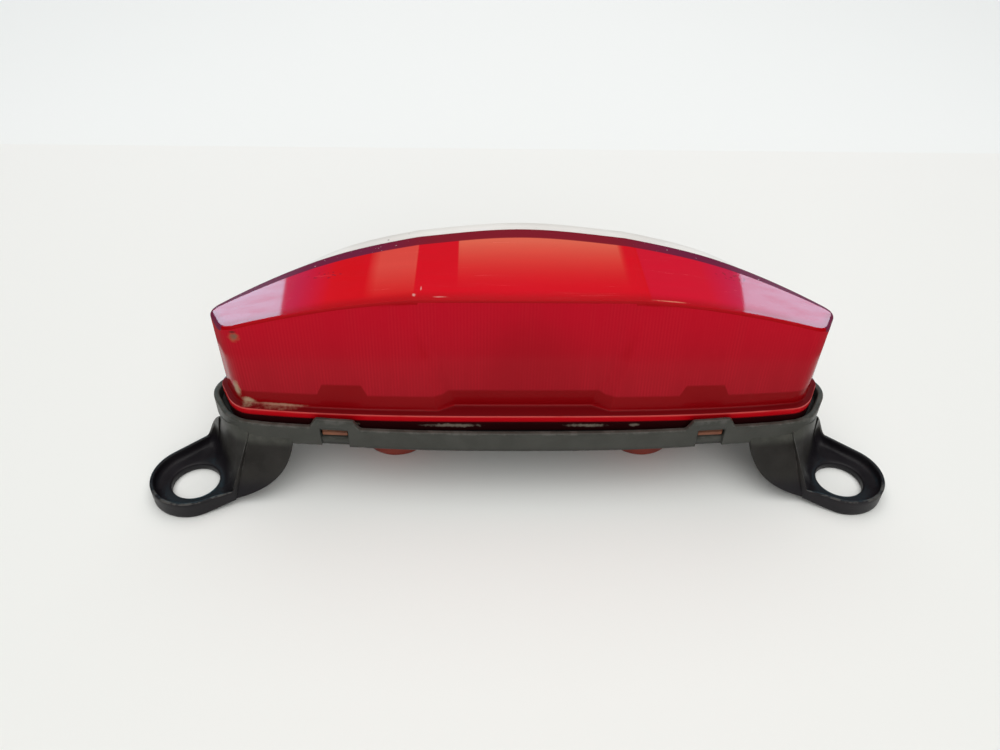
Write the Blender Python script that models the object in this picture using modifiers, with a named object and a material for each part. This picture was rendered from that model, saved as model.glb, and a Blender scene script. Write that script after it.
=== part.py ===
"""Two-bulb motorcycle tail light, lying on its back with the lens up.

A red lens with a clear number plate window clips on a black tray that has two mounting ears.
Each of the two bulbs sits in a twist-in holder that is pushed through the tray from behind.
Metres, +Z up.  Lengths along Y are counted from the line through the two ear holes.
"""

import math

import bmesh
import bpy
import numpy as np
from mathutils import Matrix

for old in list(bpy.data.objects):
    bpy.data.objects.remove(old, do_unlink=True)


# Driving dimensions

CLEAR = 0.0003              # gap kept between pieces that touch
PASS = 0.002                # how far a cutter runs past the face that it opens
ROOT = 0.001                # how far a joined piece is sunk into what carries it

HOLE_PITCH = 0.240          # between the two ear holes
EAR_REACH = 0.011           # from the lens tip out to the ear hole
EAR_HOLE_RADIUS = 0.0085
EAR_RADIUS = 0.0154
EAR_TURN = math.radians(31.0)
EAR_FLOOR = 0.003
EAR_LIP = 0.0065            # height of the lip round an ear
EAR_LIP_WALL = 0.0024
EAR_SEAT = 0.0107           # from the ear hole in to the leg
LEG_WALL = 0.003
LEG_SPREAD = 0.0205         # how far the leg's rounded web runs in along the rim
WEB_RISE = 0.95             # share of the leg's height that the web's curve climbs

LENS_FRONT = 0.0037         # lens wall behind the ear holes, at its foot
LENS_DEPTH = 0.0566         # front wall to back wall, at the foot
LENS_WALL = 0.0024
LENS_FOOT = 0.034           # height of the ledge that the lens wall stands on
FRONT_LEAN = 0.007          # how far the front wall leans back
BACK_LEAN = 0.0028
END_LEAN = 0.001
CORNER_INSET = 0.008        # front corner, inside the tip
CORNER_SET = 0.0048         # front corner, behind the middle of the front wall
TIP_SET = 0.0178            # tip, behind the middle of the front wall
CORNER_ROUND = 0.005
TIP_ROUND = 0.0045
PANEL_RECESS = 0.003        # middle of the front wall, set back at its foot
PANEL_FOOT_HALF = 0.0243
PANEL_TOP_HALF = 0.035
PANEL_RAMP = 0.0035
WING_SLOPE = 0.085          # fall of the top face outside the middle panel
WING_CURVE = 1.1
TOP_EDGE = 0.001            # rounding of the edge round the top face

LEDGE_WIDTH = 0.0029        # ledge outside the lens wall
SKIRT_WALL = 0.0022
RIM_GAP = 0.0015            # between the skirt and the rim
RIM_WALL = 0.002
RIM_TOP = 0.030
TRAY_UNDER = 0.0226         # underside of the tray's floor
TRAY_FLOOR = 0.0025
DAM_WALL = 0.0018           # wall inside the seal's channel
DAM_HEIGHT = 0.004
SEAL_HEIGHT = 0.0014

HOOK_SPOT = 0.066           # hooks that hold the lens, from the middle
HOOK_WIDTH = 0.009
HOOK_HEIGHT = 0.0022
HOOK_PLAY = 0.0005          # each side of a hook in its notch
NOTCH_INSET = 0.001         # how far a notch runs in under the rim
TAB_WIDTH = 0.0134          # raised tab of the rim over each hook, at its top
TAB_RAMP = 0.0022           # run of a tab's sloping ends
TAB_RISE = 0.0038

WINDOW_END = 0.030          # end of the clear window, inside the lens tip
WINDOW_BULGE = 0.007
WINDOW_WALL = 0.002
WINDOW_FOOT = 0.042
WINDOW_TIP = 0.0008         # depth of the window at its two ends
WINDOW_FOOT_ROUND = 0.0006
WINDOW_TOP_ROUND = 0.0012
WINDOW_DROP = 0.0002        # window's top, under the rounding of the lens's edge
OPENING_MARGIN = 0.004      # lens opening, inside the window's pocket
WINDOW_BORDER = 0.009       # overlap of the window on the lens at its ends

BULB_SPREAD = 0.096         # between the two bulbs
GLASS_RADIUS = 0.0125
GLASS_WALL = 0.0007
GLASS_PASS = 0.0005         # barrel outside the glass, so that both go through the tray
BULB_LENGTH = 0.051         # cap foot to glass tip
BULB_HEADROOM = 0.0054      # glass tip to the lens
CAP_RADIUS = 0.0075
CAP_WALL = 0.0005
CAP_LENGTH = 0.016
NECK_SEAT = 0.0055          # glass neck, down inside the cap
NECK_RISE = 0.002           # glass neck, up out of the cap
STEM_DROP = 0.010           # glass stem's head, under the middle of the globe
STEM_HEAD_RADIUS = 0.0016
STEM_FOOT_RADIUS = 0.0024
STEM_LENGTH = 0.006
FLARE_LIFT = 0.0006         # stem's flare, above the end of the neck
FLARE_EDGE = 0.001
LEAD_X = 0.0036             # leads that carry the filaments
LEAD_Y = 0.0017
LEAD_RADIUS = 0.0003
TAIL_LEAD_DROP = 0.003      # tail filament, under the middle of the globe
STOP_LEAD_RISE = 0.001      # stop filament, over the middle of the globe
FILAMENT_RADIUS = 0.0002
FILAMENT_ARCH = 0.0012
PIN_RADIUS = 0.001
PIN_REACH = 0.0014
PIN_HEIGHTS = (0.007, 0.010)
PRESS_TRAVEL = 0.0025       # how far the bulb is pressed in to turn it out

HOLDER_WALL = 0.002
HOLDER_MOUTH = 0.0305
HOLDER_FLANGE = 0.0065      # flange width outside the barrel
FLANGE_THICK = 0.003
LUG_REACH = 0.0035
LUG_WIDTH = 0.008
LUG_HEIGHT = 0.0025
UNLOCK_TURN = math.radians(40.0)
BAYONET_TURN = math.radians(28.0)
HOLDER_SEAL_HEIGHT = 0.0014
HOLDER_SEAL_INSET = 0.0005
PARTITION_UNDER = 0.004
PARTITION = 0.002

SPRING_LENGTH = 0.0054
SPRING_RADIUS = 0.0052
SPRING_WIRE = 0.00035
SPRING_TURNS = 3.5
CONTACT_PLATE = 0.0015
CONTACT_SPACING = 0.0062
RIVET_RADIUS = 0.001
RIVET_HEAD_RADIUS = 0.0018
RIVET_HEAD = 0.0008
RIVET_TAIL = 0.0008
DOT_HEIGHT = 0.0009
DOT_FOOT_RADIUS = 0.0012
DOT_RADIUS = 0.0019
INSULATOR = 0.0024
INSULATOR_PROUD = 0.0009

BLADE = 0.0008              # sheet thickness of the terminals
LIVE_BLADE_WIDTH = 0.0048
EARTH_BLADE_WIDTH = 0.004
BLADE_FOOT = 0.001
EARTH_BLADE_TOP = 0.022
EARTH_BLADE_GAP = 0.0004    # to the bulb's cap

REFLECTOR_FLOOR = 0.0365
REFLECTOR_SHEET = 0.0016
REFLECTOR_GAP = 0.001       # to the lens wall
BOWL_MARGIN = 0.0012        # rim of a bowl, inside the reflector's edge
BOWL_FLARE = 0.0004         # least widening of a bowl from its throat to its rim
BOWL_THROAT = 0.001         # play round the holder's barrel
BOWL_FOOT = 0.0298
BOWL_RIM = 0.9              # share of the sheet's thickness that a bowl's rim takes up
POST_RADIUS = 0.0036
SCREW_RADIUS = 0.0015
SCREW_HEAD_RADIUS = 0.0031
SCREW_HEAD = 0.002
SCREW_LENGTH = 0.009
SCREW_POINT = 0.001
SCREW_SLOT = 0.0008
MIDDLE_POST_INSET = 0.010   # middle posts, inside the lens walls


# Places that follow from the dimensions

TIP_X = HOLE_PITCH / 2 - EAR_REACH
TRAY_TOP = TRAY_UNDER + TRAY_FLOOR
RIM_OUT = LEDGE_WIDTH + RIM_GAP + RIM_WALL
RIM_IN = LEDGE_WIDTH + RIM_GAP
SKIRT_FOOT = TRAY_TOP + SEAL_HEIGHT + 2 * CLEAR
BACK_Y = LENS_FRONT + LENS_DEPTH
EAR_LINE_Y = -(BACK_Y + RIM_OUT - EAR_RADIUS) / 2

PARTITION_TOP = PARTITION_UNDER + PARTITION
PLATE_UNDER = PARTITION_TOP + SPRING_LENGTH + 2 * CLEAR
PLATE_TOP = PLATE_UNDER + CONTACT_PLATE
DOT_FOOT = PLATE_TOP + RIVET_HEAD + 2 * CLEAR
INSULATOR_FOOT = DOT_FOOT + DOT_HEIGHT + CLEAR
CAP_FOOT = INSULATOR_FOOT + INSULATOR_PROUD
CAP_TOP = CAP_FOOT + CAP_LENGTH
BULB_TOP = CAP_FOOT + BULB_LENGTH
LENS_TOP = BULB_TOP + BULB_HEADROOM + LENS_WALL

BARREL_RADIUS = GLASS_RADIUS + GLASS_PASS
BORE_RADIUS = CAP_RADIUS + CLEAR
SOCKET_RADIUS = BARREL_RADIUS + CLEAR
FLANGE_RADIUS = BARREL_RADIUS + HOLDER_FLANGE
FLANGE_TOP = TRAY_UNDER - HOLDER_SEAL_HEIGHT - 2 * CLEAR
BULB_X = BULB_SPREAD / 2


# Modelling helpers

parts = bpy.data.collections.new("tail_light")
tools = bpy.data.collections.new("tail_light_cutters")
bpy.context.scene.collection.children.link(parts)
bpy.context.scene.collection.children.link(tools)


def empty(name, at, parent=None):
    """A parent that carries the pieces of one moving group."""
    node = bpy.data.objects.new(name, None)
    parts.objects.link(node)
    node.location = at
    node.parent = parent
    return node


def part(obj, parent, colour, roughness, metallic=0.0):
    """Puts a finished piece in the parts collection with its own material."""
    for home in list(obj.users_collection):
        home.objects.unlink(obj)
    parts.objects.link(obj)
    obj.parent = parent
    material = bpy.data.materials.new(obj.name + "_finish")
    material.use_nodes = True
    shader = material.node_tree.nodes["Principled BSDF"]
    shader.inputs["Base Color"].default_value = (*colour, 1.0)
    shader.inputs["Roughness"].default_value = roughness
    shader.inputs["Metallic"].default_value = metallic
    obj.data.materials.clear()
    obj.data.materials.append(material)
    return obj


def tool(obj, parent):
    """A solid that only cuts another or is joined to it."""
    obj.parent = parent
    obj.hide_render = True
    obj.display_type = "WIRE"
    return obj


def combine(target, operation, solid):
    """Boolean of a piece with a tool that moves with the same parent."""
    tool(solid, target.parent)
    modifier = target.modifiers.new(solid.name, "BOOLEAN")
    modifier.operation = operation
    modifier.solver = "EXACT"
    modifier.object = solid
    return target


def cut(target, solid):
    return combine(target, "DIFFERENCE", solid)


def join(target, solid):
    return combine(target, "UNION", solid)


def new_object(name, mesh):
    obj = bpy.data.objects.new(name, mesh)
    tools.objects.link(obj)
    return obj


def from_bmesh(name, bm, smooth=math.radians(35.0)):
    mesh = bpy.data.meshes.new(name)
    bm.to_mesh(mesh)
    bm.free()
    mesh.shade_smooth()
    mesh.set_sharp_from_angle(angle=smooth)
    return new_object(name, mesh)


def loft(name, rings):
    """Closed skin through rings of equally many points, capped at the first and last ring."""
    bm = bmesh.new()
    loops = [[bm.verts.new(point) for point in ring] for ring in rings]
    for near, far in zip(loops, loops[1:]):
        for i, vert in enumerate(near):
            j = (i + 1) % len(near)
            bm.faces.new((vert, near[j], far[j], far[i]))
    bm.faces.new(loops[0])
    bm.faces.new(loops[-1])
    bmesh.ops.recalc_face_normals(bm, faces=bm.faces)
    return from_bmesh(name, bm)


def plate(name, outlines, bottom, top):
    """Flat sheet: the first outline is its edge and the others are holes."""
    curve = bpy.data.curves.new(name, "CURVE")
    curve.dimensions = "2D"
    curve.fill_mode = "BOTH"
    curve.extrude = (top - bottom) / 2
    for outline in outlines:
        spline = curve.splines.new("POLY")
        spline.points.add(len(outline) - 1)
        spline.use_cyclic_u = True
        for point, (x, y) in zip(spline.points, outline):
            point.co = (x, y, 0.0, 1.0)
    drawn = new_object(name + "_outline", curve)
    seen = drawn.evaluated_get(bpy.context.evaluated_depsgraph_get())
    mesh = bpy.data.meshes.new_from_object(seen)
    bpy.data.objects.remove(drawn, do_unlink=True)
    bm = bmesh.new()
    bm.from_mesh(mesh)
    bpy.data.meshes.remove(mesh)
    bmesh.ops.remove_doubles(bm, verts=bm.verts, dist=1e-6)
    bmesh.ops.translate(bm, verts=bm.verts, vec=(0.0, 0.0, (top + bottom) / 2))
    bmesh.ops.recalc_face_normals(bm, faces=bm.faces)
    return from_bmesh(name, bm)


def turned(name, profile, steps):
    """Profile of (radius, height) points turned about Z, run down its outer side."""
    mesh = bpy.data.meshes.new(name)
    edges = [(i, i + 1) for i in range(len(profile) - 1)]
    mesh.from_pydata([(r, 0.0, z) for r, z in profile], edges, [])
    obj = new_object(name, mesh)
    screw = obj.modifiers.new("turn", "SCREW")
    screw.steps = steps
    screw.render_steps = steps
    screw.use_merge_vertices = True
    screw.merge_threshold = 1e-6
    screw.use_smooth_shade = True
    return obj


def hoop(name, profile, steps):
    """Closed profile of (radius, height) points turned about Z into a ring."""
    bm = bmesh.new()
    angles = np.linspace(0.0, 2 * math.pi, steps, endpoint=False)
    loops = [[bm.verts.new((r * math.cos(a), r * math.sin(a), z)) for r, z in profile] for a in angles]
    for near, far in zip(loops, loops[1:] + loops[:1]):
        for i, vert in enumerate(near):
            j = (i + 1) % len(near)
            bm.faces.new((vert, near[j], far[j], far[i]))
    bmesh.ops.recalc_face_normals(bm, faces=bm.faces)
    return from_bmesh(name, bm)


def box(name, size, centre, turn=0.0):
    """Box of a given size, turned about Z through the origin of its parent."""
    bm = bmesh.new()
    bmesh.ops.create_cube(bm, size=1.0)
    place = Matrix.Rotation(turn, 4, "Z") @ Matrix.Translation(centre) @ Matrix.Diagonal((*size, 1.0))
    bmesh.ops.transform(bm, matrix=place, verts=bm.verts)
    return from_bmesh(name, bm)


def rod(name, radius, bottom, top, at=(0.0, 0.0), sides=16, top_radius=None):
    """Upright round bar, or a cone when its top radius differs."""
    bm = bmesh.new()
    bmesh.ops.create_cone(bm, cap_ends=True, segments=sides, radius1=radius,
                          radius2=radius if top_radius is None else top_radius, depth=top - bottom)
    bmesh.ops.translate(bm, verts=bm.verts, vec=(at[0], at[1], (top + bottom) / 2))
    return from_bmesh(name, bm)


def wire(name, points, radius, resolution=1):
    """Round wire along a row of points."""
    curve = bpy.data.curves.new(name, "CURVE")
    curve.dimensions = "3D"
    curve.bevel_depth = radius
    curve.bevel_resolution = resolution
    curve.use_fill_caps = True
    spline = curve.splines.new("POLY")
    spline.points.add(len(points) - 1)
    for point, place in zip(spline.points, points):
        point.co = (*place, 1.0)
    return new_object(name, curve)


def circle(radius, at, sides=32):
    angles = np.linspace(0.0, 2 * math.pi, sides, endpoint=False)
    return np.column_stack((at[0] + radius * np.cos(angles), at[1] + radius * np.sin(angles)))


# Plan outline of the lens

FRONT_STEPS = (0.35, 0.7)                # stations inside the middle panel
WING_STEPS = (0.12, 0.3, 0.5, 0.7, 0.86)  # stations from the panel out to the corner
ROUND_STEPS = (0.25, 0.5, 0.75)
BACK_ANGLES = 12
CORNER_INDEX = 1 + len(FRONT_STEPS) + 2 + len(WING_STEPS) + (len(ROUND_STEPS) + 1) // 2
TIP_INDEX = CORNER_INDEX + (len(ROUND_STEPS) + 1) // 2 + 1


def quadratic(start, bend, end, steps):
    """Points of a rounded corner between two tangent points."""
    return [(1 - t) ** 2 * start + 2 * t * (1 - t) * bend + t * t * end for t in steps]


def half_outline(level, recess):
    """Right half of the lens wall at its foot (level 0) or its top (level 1), front to back."""
    middle = LENS_FRONT + FRONT_LEAN * level
    corner = np.array((TIP_X - CORNER_INSET - END_LEAN * level,
                       LENS_FRONT + CORNER_SET))
    tip = np.array((TIP_X - END_LEAN * level, LENS_FRONT + TIP_SET))
    back = BACK_Y - BACK_LEAN * level
    panel = PANEL_FOOT_HALF + (PANEL_TOP_HALF - PANEL_FOOT_HALF) * level

    def front(x, inside):
        y = middle + (corner[1] - middle) * (x / corner[0]) ** 3
        return np.array((x, y + (recess * (1 - level) if inside else 0.0)))

    sweep = tip[0] ** 2 + (back - tip[1]) ** 2
    radius = sweep / (2 * (back - tip[1]))
    reach = math.asin(tip[0] / radius)

    def rear(angle):
        return np.array((radius * math.sin(angle), back - radius + radius * math.cos(angle)))

    points = [front(0.0, True)]
    points += [front(panel * s, True) for s in FRONT_STEPS]
    points += [front(panel, True), front(panel + PANEL_RAMP * (1 - 0.7 * level), False)]
    wing_start = points[-1][0]
    wing_end = corner[0] - CORNER_ROUND
    points += [front(wing_start + (wing_end - wing_start) * s, False) for s in WING_STEPS]
    along_end = (tip - corner) / np.linalg.norm(tip - corner)
    entry, leave = front(wing_end, False), corner + along_end * CORNER_ROUND
    points += [entry, *quadratic(entry, corner, leave, ROUND_STEPS), leave]
    turn_in = tip - along_end * TIP_ROUND
    last = reach - TIP_ROUND / radius
    points += [turn_in, *quadratic(turn_in, tip, rear(last), ROUND_STEPS)]
    points += [rear(last * (1 - i / BACK_ANGLES)) for i in range(BACK_ANGLES + 1)]
    return np.array(points)


def outline(level=0.0, grow=0.0, recess=0.0):
    """Whole outline, anticlockwise from the front middle, moved out square to itself by grow."""
    half = half_outline(level, recess)
    mirrored = half[-2:0:-1] * (-1.0, 1.0)
    ring = np.vstack((half, mirrored))
    along = np.roll(ring, -1, axis=0) - np.roll(ring, 1, axis=0)
    along /= np.linalg.norm(along, axis=1)[:, None]
    return ring + grow * np.column_stack((along[:, 1], -along[:, 0]))


def top_height(x):
    """Height of the lens's top face: flat in the middle, with wings that fall to the tips."""
    out = np.maximum(np.abs(x) - PANEL_TOP_HALF, 0.0)
    return LENS_TOP - WING_SLOPE * out - WING_CURVE * out ** 2


def raised(ring, height):
    """Plan ring lifted to a height, which is a number or one value for each point."""
    return np.column_stack((ring, np.broadcast_to(height, len(ring))))


def spot(x, grow, at_back=False, level=0.0):
    """Point of the grown outline at a given x, and the turn of its outward side about Z."""
    ring = outline(level, grow)
    half = ring[:len(half_outline(0.0, 0.0))]
    widest = int(np.argmax(half[:, 0]))
    run = half[widest:][::-1] if at_back else half[:widest + 1]
    y = float(np.interp(abs(x), run[:, 0], run[:, 1]))
    step = 0.001
    slope = (float(np.interp(abs(x) + step, run[:, 0], run[:, 1])) - y) / step
    return (x, y), math.atan(slope) * math.copysign(1.0, x)


MID_Y = (spot(BULB_X, 0.0)[0][1] + spot(BULB_X, 0.0, True)[0][1]) / 2
HOOKS = [(x, back) for back in (False, True) for x in (-HOOK_SPOT, HOOK_SPOT)]

lamp = empty("lamp", (0.0, EAR_LINE_Y, 0.0))

# Reflector edge and the largest bowl that fits inside it, round each bulb
lowest_head = float(top_height(TIP_X)) - TOP_EDGE
reflector_level = (REFLECTOR_FLOOR + REFLECTOR_SHEET + LENS_WALL - LENS_FOOT) / (lowest_head - LENS_FOOT)
reflector_edge = outline(reflector_level, -LENS_WALL - REFLECTOR_GAP, PANEL_RECESS)
bulb_offsets = reflector_edge - (BULB_X, MID_Y)
bowl_room = float(np.min(np.linalg.norm(bulb_offsets, axis=1)))
THROAT_RADIUS = min(BARREL_RADIUS + BOWL_THROAT, bowl_room - 2 * CLEAR - BOWL_FLARE - REFLECTOR_SHEET)
BOWL_RADIUS = max(bowl_room - BOWL_MARGIN, THROAT_RADIUS + BOWL_FLARE + REFLECTOR_SHEET)
SIDE_POST_X = BULB_X + BOWL_RADIUS + POST_RADIUS + BOWL_MARGIN
POSTS = [(-SIDE_POST_X, LENS_FRONT + TIP_SET), (SIDE_POST_X, LENS_FRONT + TIP_SET),
         (0.0, LENS_FRONT + PANEL_RECESS + MIDDLE_POST_INSET), (0.0, BACK_Y - MIDDLE_POST_INSET)]


# Housing: tray, rim with its tabs, posts for the reflector, and two legs with ears

def block_at(name, x, at_back, width, inner, outer, bottom, top):
    """Box across the rim at x, from one distance outside the lens wall to another."""
    (px, py), turn = spot(x, 0.0, at_back)
    side = 1.0 if at_back else -1.0
    middle = (0.0, side * (inner + outer) / 2, (bottom + top) / 2)
    made = box(name, (width, outer - inner, top - bottom), middle, turn)
    made.data.transform(Matrix.Translation((px, py, 0.0)))
    return made


tray_bevel = 0.0008


def tab_at(name, x, at_back):
    """Raised tab of the rim at x, with sloping ends."""
    (px, py), turn = spot(x, 0.0, at_back)
    side = 1.0 if at_back else -1.0
    inner, outer = side * RIM_IN, side * (RIM_OUT - tray_bevel / 4)
    head, foot = TAB_WIDTH / 2, TAB_WIDTH / 2 + TAB_RAMP
    levels = ((foot, TRAY_TOP), (foot, RIM_TOP - tray_bevel), (head, RIM_TOP + TAB_RISE))
    made = loft(name, [[(-half, inner, z), (half, inner, z), (half, outer, z), (-half, outer, z)]
                       for half, z in levels])
    made.data.transform(Matrix.Translation((px, py, 0.0)) @ Matrix.Rotation(turn, 4, "Z"))
    return made


tray_section = [
    (RIM_OUT - tray_bevel, TRAY_UNDER),
    (RIM_OUT, TRAY_UNDER + tray_bevel),
    (RIM_OUT, RIM_TOP - tray_bevel / 2),
    (RIM_OUT - tray_bevel / 2, RIM_TOP),
    (RIM_IN, RIM_TOP),
    (RIM_IN, TRAY_TOP),
    (LEDGE_WIDTH - SKIRT_WALL - 2 * CLEAR, TRAY_TOP),
    (LEDGE_WIDTH - SKIRT_WALL - 2 * CLEAR, TRAY_TOP + DAM_HEIGHT),
    (LEDGE_WIDTH - SKIRT_WALL - 2 * CLEAR - DAM_WALL, TRAY_TOP + DAM_HEIGHT),
    (LEDGE_WIDTH - SKIRT_WALL - 2 * CLEAR - DAM_WALL, TRAY_TOP),
]
housing = loft("housing", [raised(outline(0.0, grow), z) for grow, z in tray_section])
part(housing, lamp, (0.022, 0.023, 0.024), 0.48)

for i, (x, at_back) in enumerate(HOOKS):
    join(housing, tab_at(f"tab_{i}", x, at_back))
    cut(housing, block_at(f"tab_notch_{i}", x, at_back, HOOK_WIDTH + 2 * HOOK_PLAY, RIM_IN - NOTCH_INSET,
                          RIM_OUT + PASS, TRAY_UNDER - PASS, SKIRT_FOOT + HOOK_HEIGHT + CLEAR))

for i, at in enumerate(POSTS):
    join(housing, rod(f"post_{i}", POST_RADIUS, TRAY_TOP - ROOT, REFLECTOR_FLOOR - CLEAR, at))
    cut(housing, rod(f"post_bore_{i}", SCREW_RADIUS + CLEAR, REFLECTOR_FLOOR - SCREW_LENGTH,
                     REFLECTOR_FLOOR + PASS, at))

for side, sign in (("left", -1.0), ("right", 1.0)):
    inward = np.array((-sign * math.cos(EAR_TURN), math.sin(EAR_TURN)))
    across = np.array((-sign * math.sin(EAR_TURN), -math.cos(EAR_TURN)))
    hole = np.array((sign * HOLE_PITCH / 2, 0.0))
    front_foot = hole + inward * EAR_SEAT + across * EAR_RADIUS
    back_foot = front_foot - across * 2 * EAR_RADIUS

    def tongue(radius, run):
        """Ear outline: half a disc round the hole, run on towards the leg."""
        angles = np.linspace(math.pi / 2, 3 * math.pi / 2, 15)
        round_end = [hole + radius * (inward * math.cos(a) + across * math.sin(a)) for a in angles]
        return [hole + inward * run + across * radius, *round_end, hole + inward * run - across * radius]

    ear_run = EAR_SEAT + LEG_WALL
    ear = plate(f"ear_{side}", [tongue(EAR_RADIUS, ear_run)], 0.0, EAR_LIP)
    tool(ear, lamp)
    dish = tongue(EAR_RADIUS - EAR_LIP_WALL, ear_run + PASS)
    cut(ear, plate(f"ear_dish_{side}", [dish], EAR_FLOOR, EAR_LIP + PASS))
    cut(ear, rod(f"ear_hole_{side}", EAR_HOLE_RADIUS, -PASS, EAR_FLOOR + PASS, hole, 28))
    join(housing, ear)

    # End wall of the leg, from the ear up to the rim's end
    rim_end = outline(0.0, RIM_OUT - RIM_WALL / 2)
    front_head = rim_end[CORNER_INDEX] * (sign, 1.0)
    back_head = rim_end[TIP_INDEX] * (sign, 1.0)
    inset = inward * LEG_WALL
    leg_low, leg_high = EAR_FLOOR / 3, TRAY_UNDER + 0.6 * TRAY_FLOOR
    low = [front_foot, back_foot, back_foot + inset, front_foot + inset]
    high = [front_head, back_head, back_head + inset, front_head + inset]
    leg_rings = [raised(np.array(low), leg_low), raised(np.array(high), leg_high)]
    join(housing, loft(f"leg_end_{side}", leg_rings))

    # Rounded web in front, from the foot of the leg in under the rim
    web_end = front_foot[0] - sign * LEG_SPREAD
    rise = leg_high - leg_low
    web = []
    for share in np.linspace(0.0, 1.0, 9):
        turn = share * math.pi / 2
        foot = (front_foot[0] - sign * LEG_SPREAD * math.sin(turn),
                leg_low + WEB_RISE * rise * (1 - math.cos(turn)))
        head = (front_head[0] + (web_end - front_head[0]) * share, leg_high)
        section = []
        for (x, z), depth in ((foot, 0.0), (foot, LEG_WALL), (head, LEG_WALL), (head, 0.0)):
            lean = (z - leg_low) / rise
            rim_y = spot(x, RIM_OUT)[0][1] + RIM_WALL / 3
            section.append((x, front_foot[1] * (1 - lean) + rim_y * lean + depth, z))
        web.append(section)
    join(housing, loft(f"leg_web_{side}", web))

    # Hole for the bulb holder, with notches that let its lugs through when it is unlocked
    socket = (sign * BULB_X, MID_Y)
    cut(housing, rod(f"socket_{side}", SOCKET_RADIUS, TRAY_UNDER - PASS, TRAY_TOP + PASS, socket, 36))
    for i in range(3):
        turn = UNLOCK_TURN + i * 2 * math.pi / 3
        notch_reach = BARREL_RADIUS + LUG_REACH + 2 * CLEAR
        notch = box(f"socket_notch_{side}_{i}", (notch_reach, LUG_WIDTH + 4 * CLEAR, TRAY_FLOOR + 2 * PASS),
                    (notch_reach / 2, 0.0, (TRAY_UNDER + TRAY_TOP) / 2), turn)
        notch.data.transform(Matrix.Translation((*socket, 0.0)))
        cut(housing, notch)


# Lens: skirt, ledge, wall and crowned top face in one moulding, with hooks on the skirt

TOP_RINGS = (0.8, 0.52, 0.24)


def lens_top_rings(inset, drop):
    """Rings of the top face, drawn in from its edge towards the middle."""
    edge = outline(1.0, -inset)
    middle = np.array((0.0, (edge[:, 1].min() + edge[:, 1].max()) / 2))
    rings = []
    for share in (1.0, *TOP_RINGS):
        ring = middle + (edge - middle) * share
        rings.append(raised(ring, top_height(ring[:, 0]) - drop))
    return rings


def wall_head(inset, drop):
    """Upper edge of the lens wall, just under the rounding of the top face."""
    ring = outline(1.0, -inset)
    return raised(ring, top_height(ring[:, 0]) - drop)


skirt_in = LEDGE_WIDTH - SKIRT_WALL
lens_rings = [
    *lens_top_rings(LENS_WALL + TOP_EDGE, LENS_WALL)[::-1],
    wall_head(LENS_WALL, LENS_WALL + TOP_EDGE),
    raised(outline(0.0, -LENS_WALL, PANEL_RECESS), LENS_FOOT - LENS_WALL),
    raised(outline(0.0, skirt_in), LENS_FOOT - LENS_WALL),
    raised(outline(0.0, skirt_in), SKIRT_FOOT),
    raised(outline(0.0, LEDGE_WIDTH), SKIRT_FOOT),
    raised(outline(0.0, LEDGE_WIDTH), LENS_FOOT - TOP_EDGE / 2),
    raised(outline(0.0, LEDGE_WIDTH - TOP_EDGE / 2), LENS_FOOT),
    raised(outline(0.0, 0.0, PANEL_RECESS), LENS_FOOT),
    wall_head(0.0, TOP_EDGE),
    *lens_top_rings(TOP_EDGE, 0.0),
]
lens = loft("lens", lens_rings)
part(lens, lamp, (0.45, 0.006, 0.012), 0.12)
for i, (x, at_back) in enumerate(HOOKS):
    join(lens, block_at(f"hook_{i}", x, at_back, HOOK_WIDTH, LEDGE_WIDTH - SKIRT_WALL / 2,
                        RIM_OUT - RIM_WALL / 2, SKIRT_FOOT, SKIRT_FOOT + HOOK_HEIGHT))


# Clear number plate window, a shallow bay bonded over an opening in the lens's back wall

WINDOW_HALF = TIP_X - WINDOW_END
WINDOW_STATIONS = 14
window_top_drop = TOP_EDGE + WINDOW_DROP


def back_wall(x, height):
    """Y of the lens's back wall at x and a height."""
    foot, head = (spot(x, 0.0, True, level)[0][1] for level in (0.0, 1.0))
    head_height = top_height(x) - TOP_EDGE
    return foot + (head - foot) * (height - LENS_FOOT) / (head_height - LENS_FOOT)


def bay_ring(half, grow, back_off, height_at):
    """Crescent in plan: the bulged face from one end to the other, then back along the lens wall."""
    stations = np.linspace(-half, half, WINDOW_STATIONS)
    face, wall = [], []
    for x in stations:
        z = height_at(x)
        y = back_wall(x, z) + CLEAR
        bulge = WINDOW_TIP + WINDOW_BULGE * (1 - (x / WINDOW_HALF) ** 2)
        face.append((x, y + max(bulge + grow, WINDOW_TIP / 2), z))
        wall.append((x, y - back_off, z))
    return face[::-1] + wall


def under_top(drop):
    return lambda x: top_height(x) - drop


plate_window = loft("plate_window", [
    bay_ring(WINDOW_HALF, -WINDOW_FOOT_ROUND, 0.0, lambda x: WINDOW_FOOT),
    bay_ring(WINDOW_HALF, 0.0, 0.0, lambda x: WINDOW_FOOT + WINDOW_FOOT_ROUND),
    bay_ring(WINDOW_HALF, 0.0, 0.0, under_top(window_top_drop + WINDOW_TOP_ROUND)),
    bay_ring(WINDOW_HALF, -WINDOW_TOP_ROUND, 0.0, under_top(window_top_drop)),
])
part(plate_window, lamp, (0.9, 0.9, 0.88), 0.08)
pocket_half = WINDOW_HALF - WINDOW_BORDER
cut(plate_window, loft("window_pocket", [
    bay_ring(pocket_half, -WINDOW_WALL, 2 * PASS, lambda x: WINDOW_FOOT + WINDOW_WALL),
    bay_ring(pocket_half, -WINDOW_WALL, 2 * PASS, under_top(window_top_drop + WINDOW_WALL)),
]))

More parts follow.
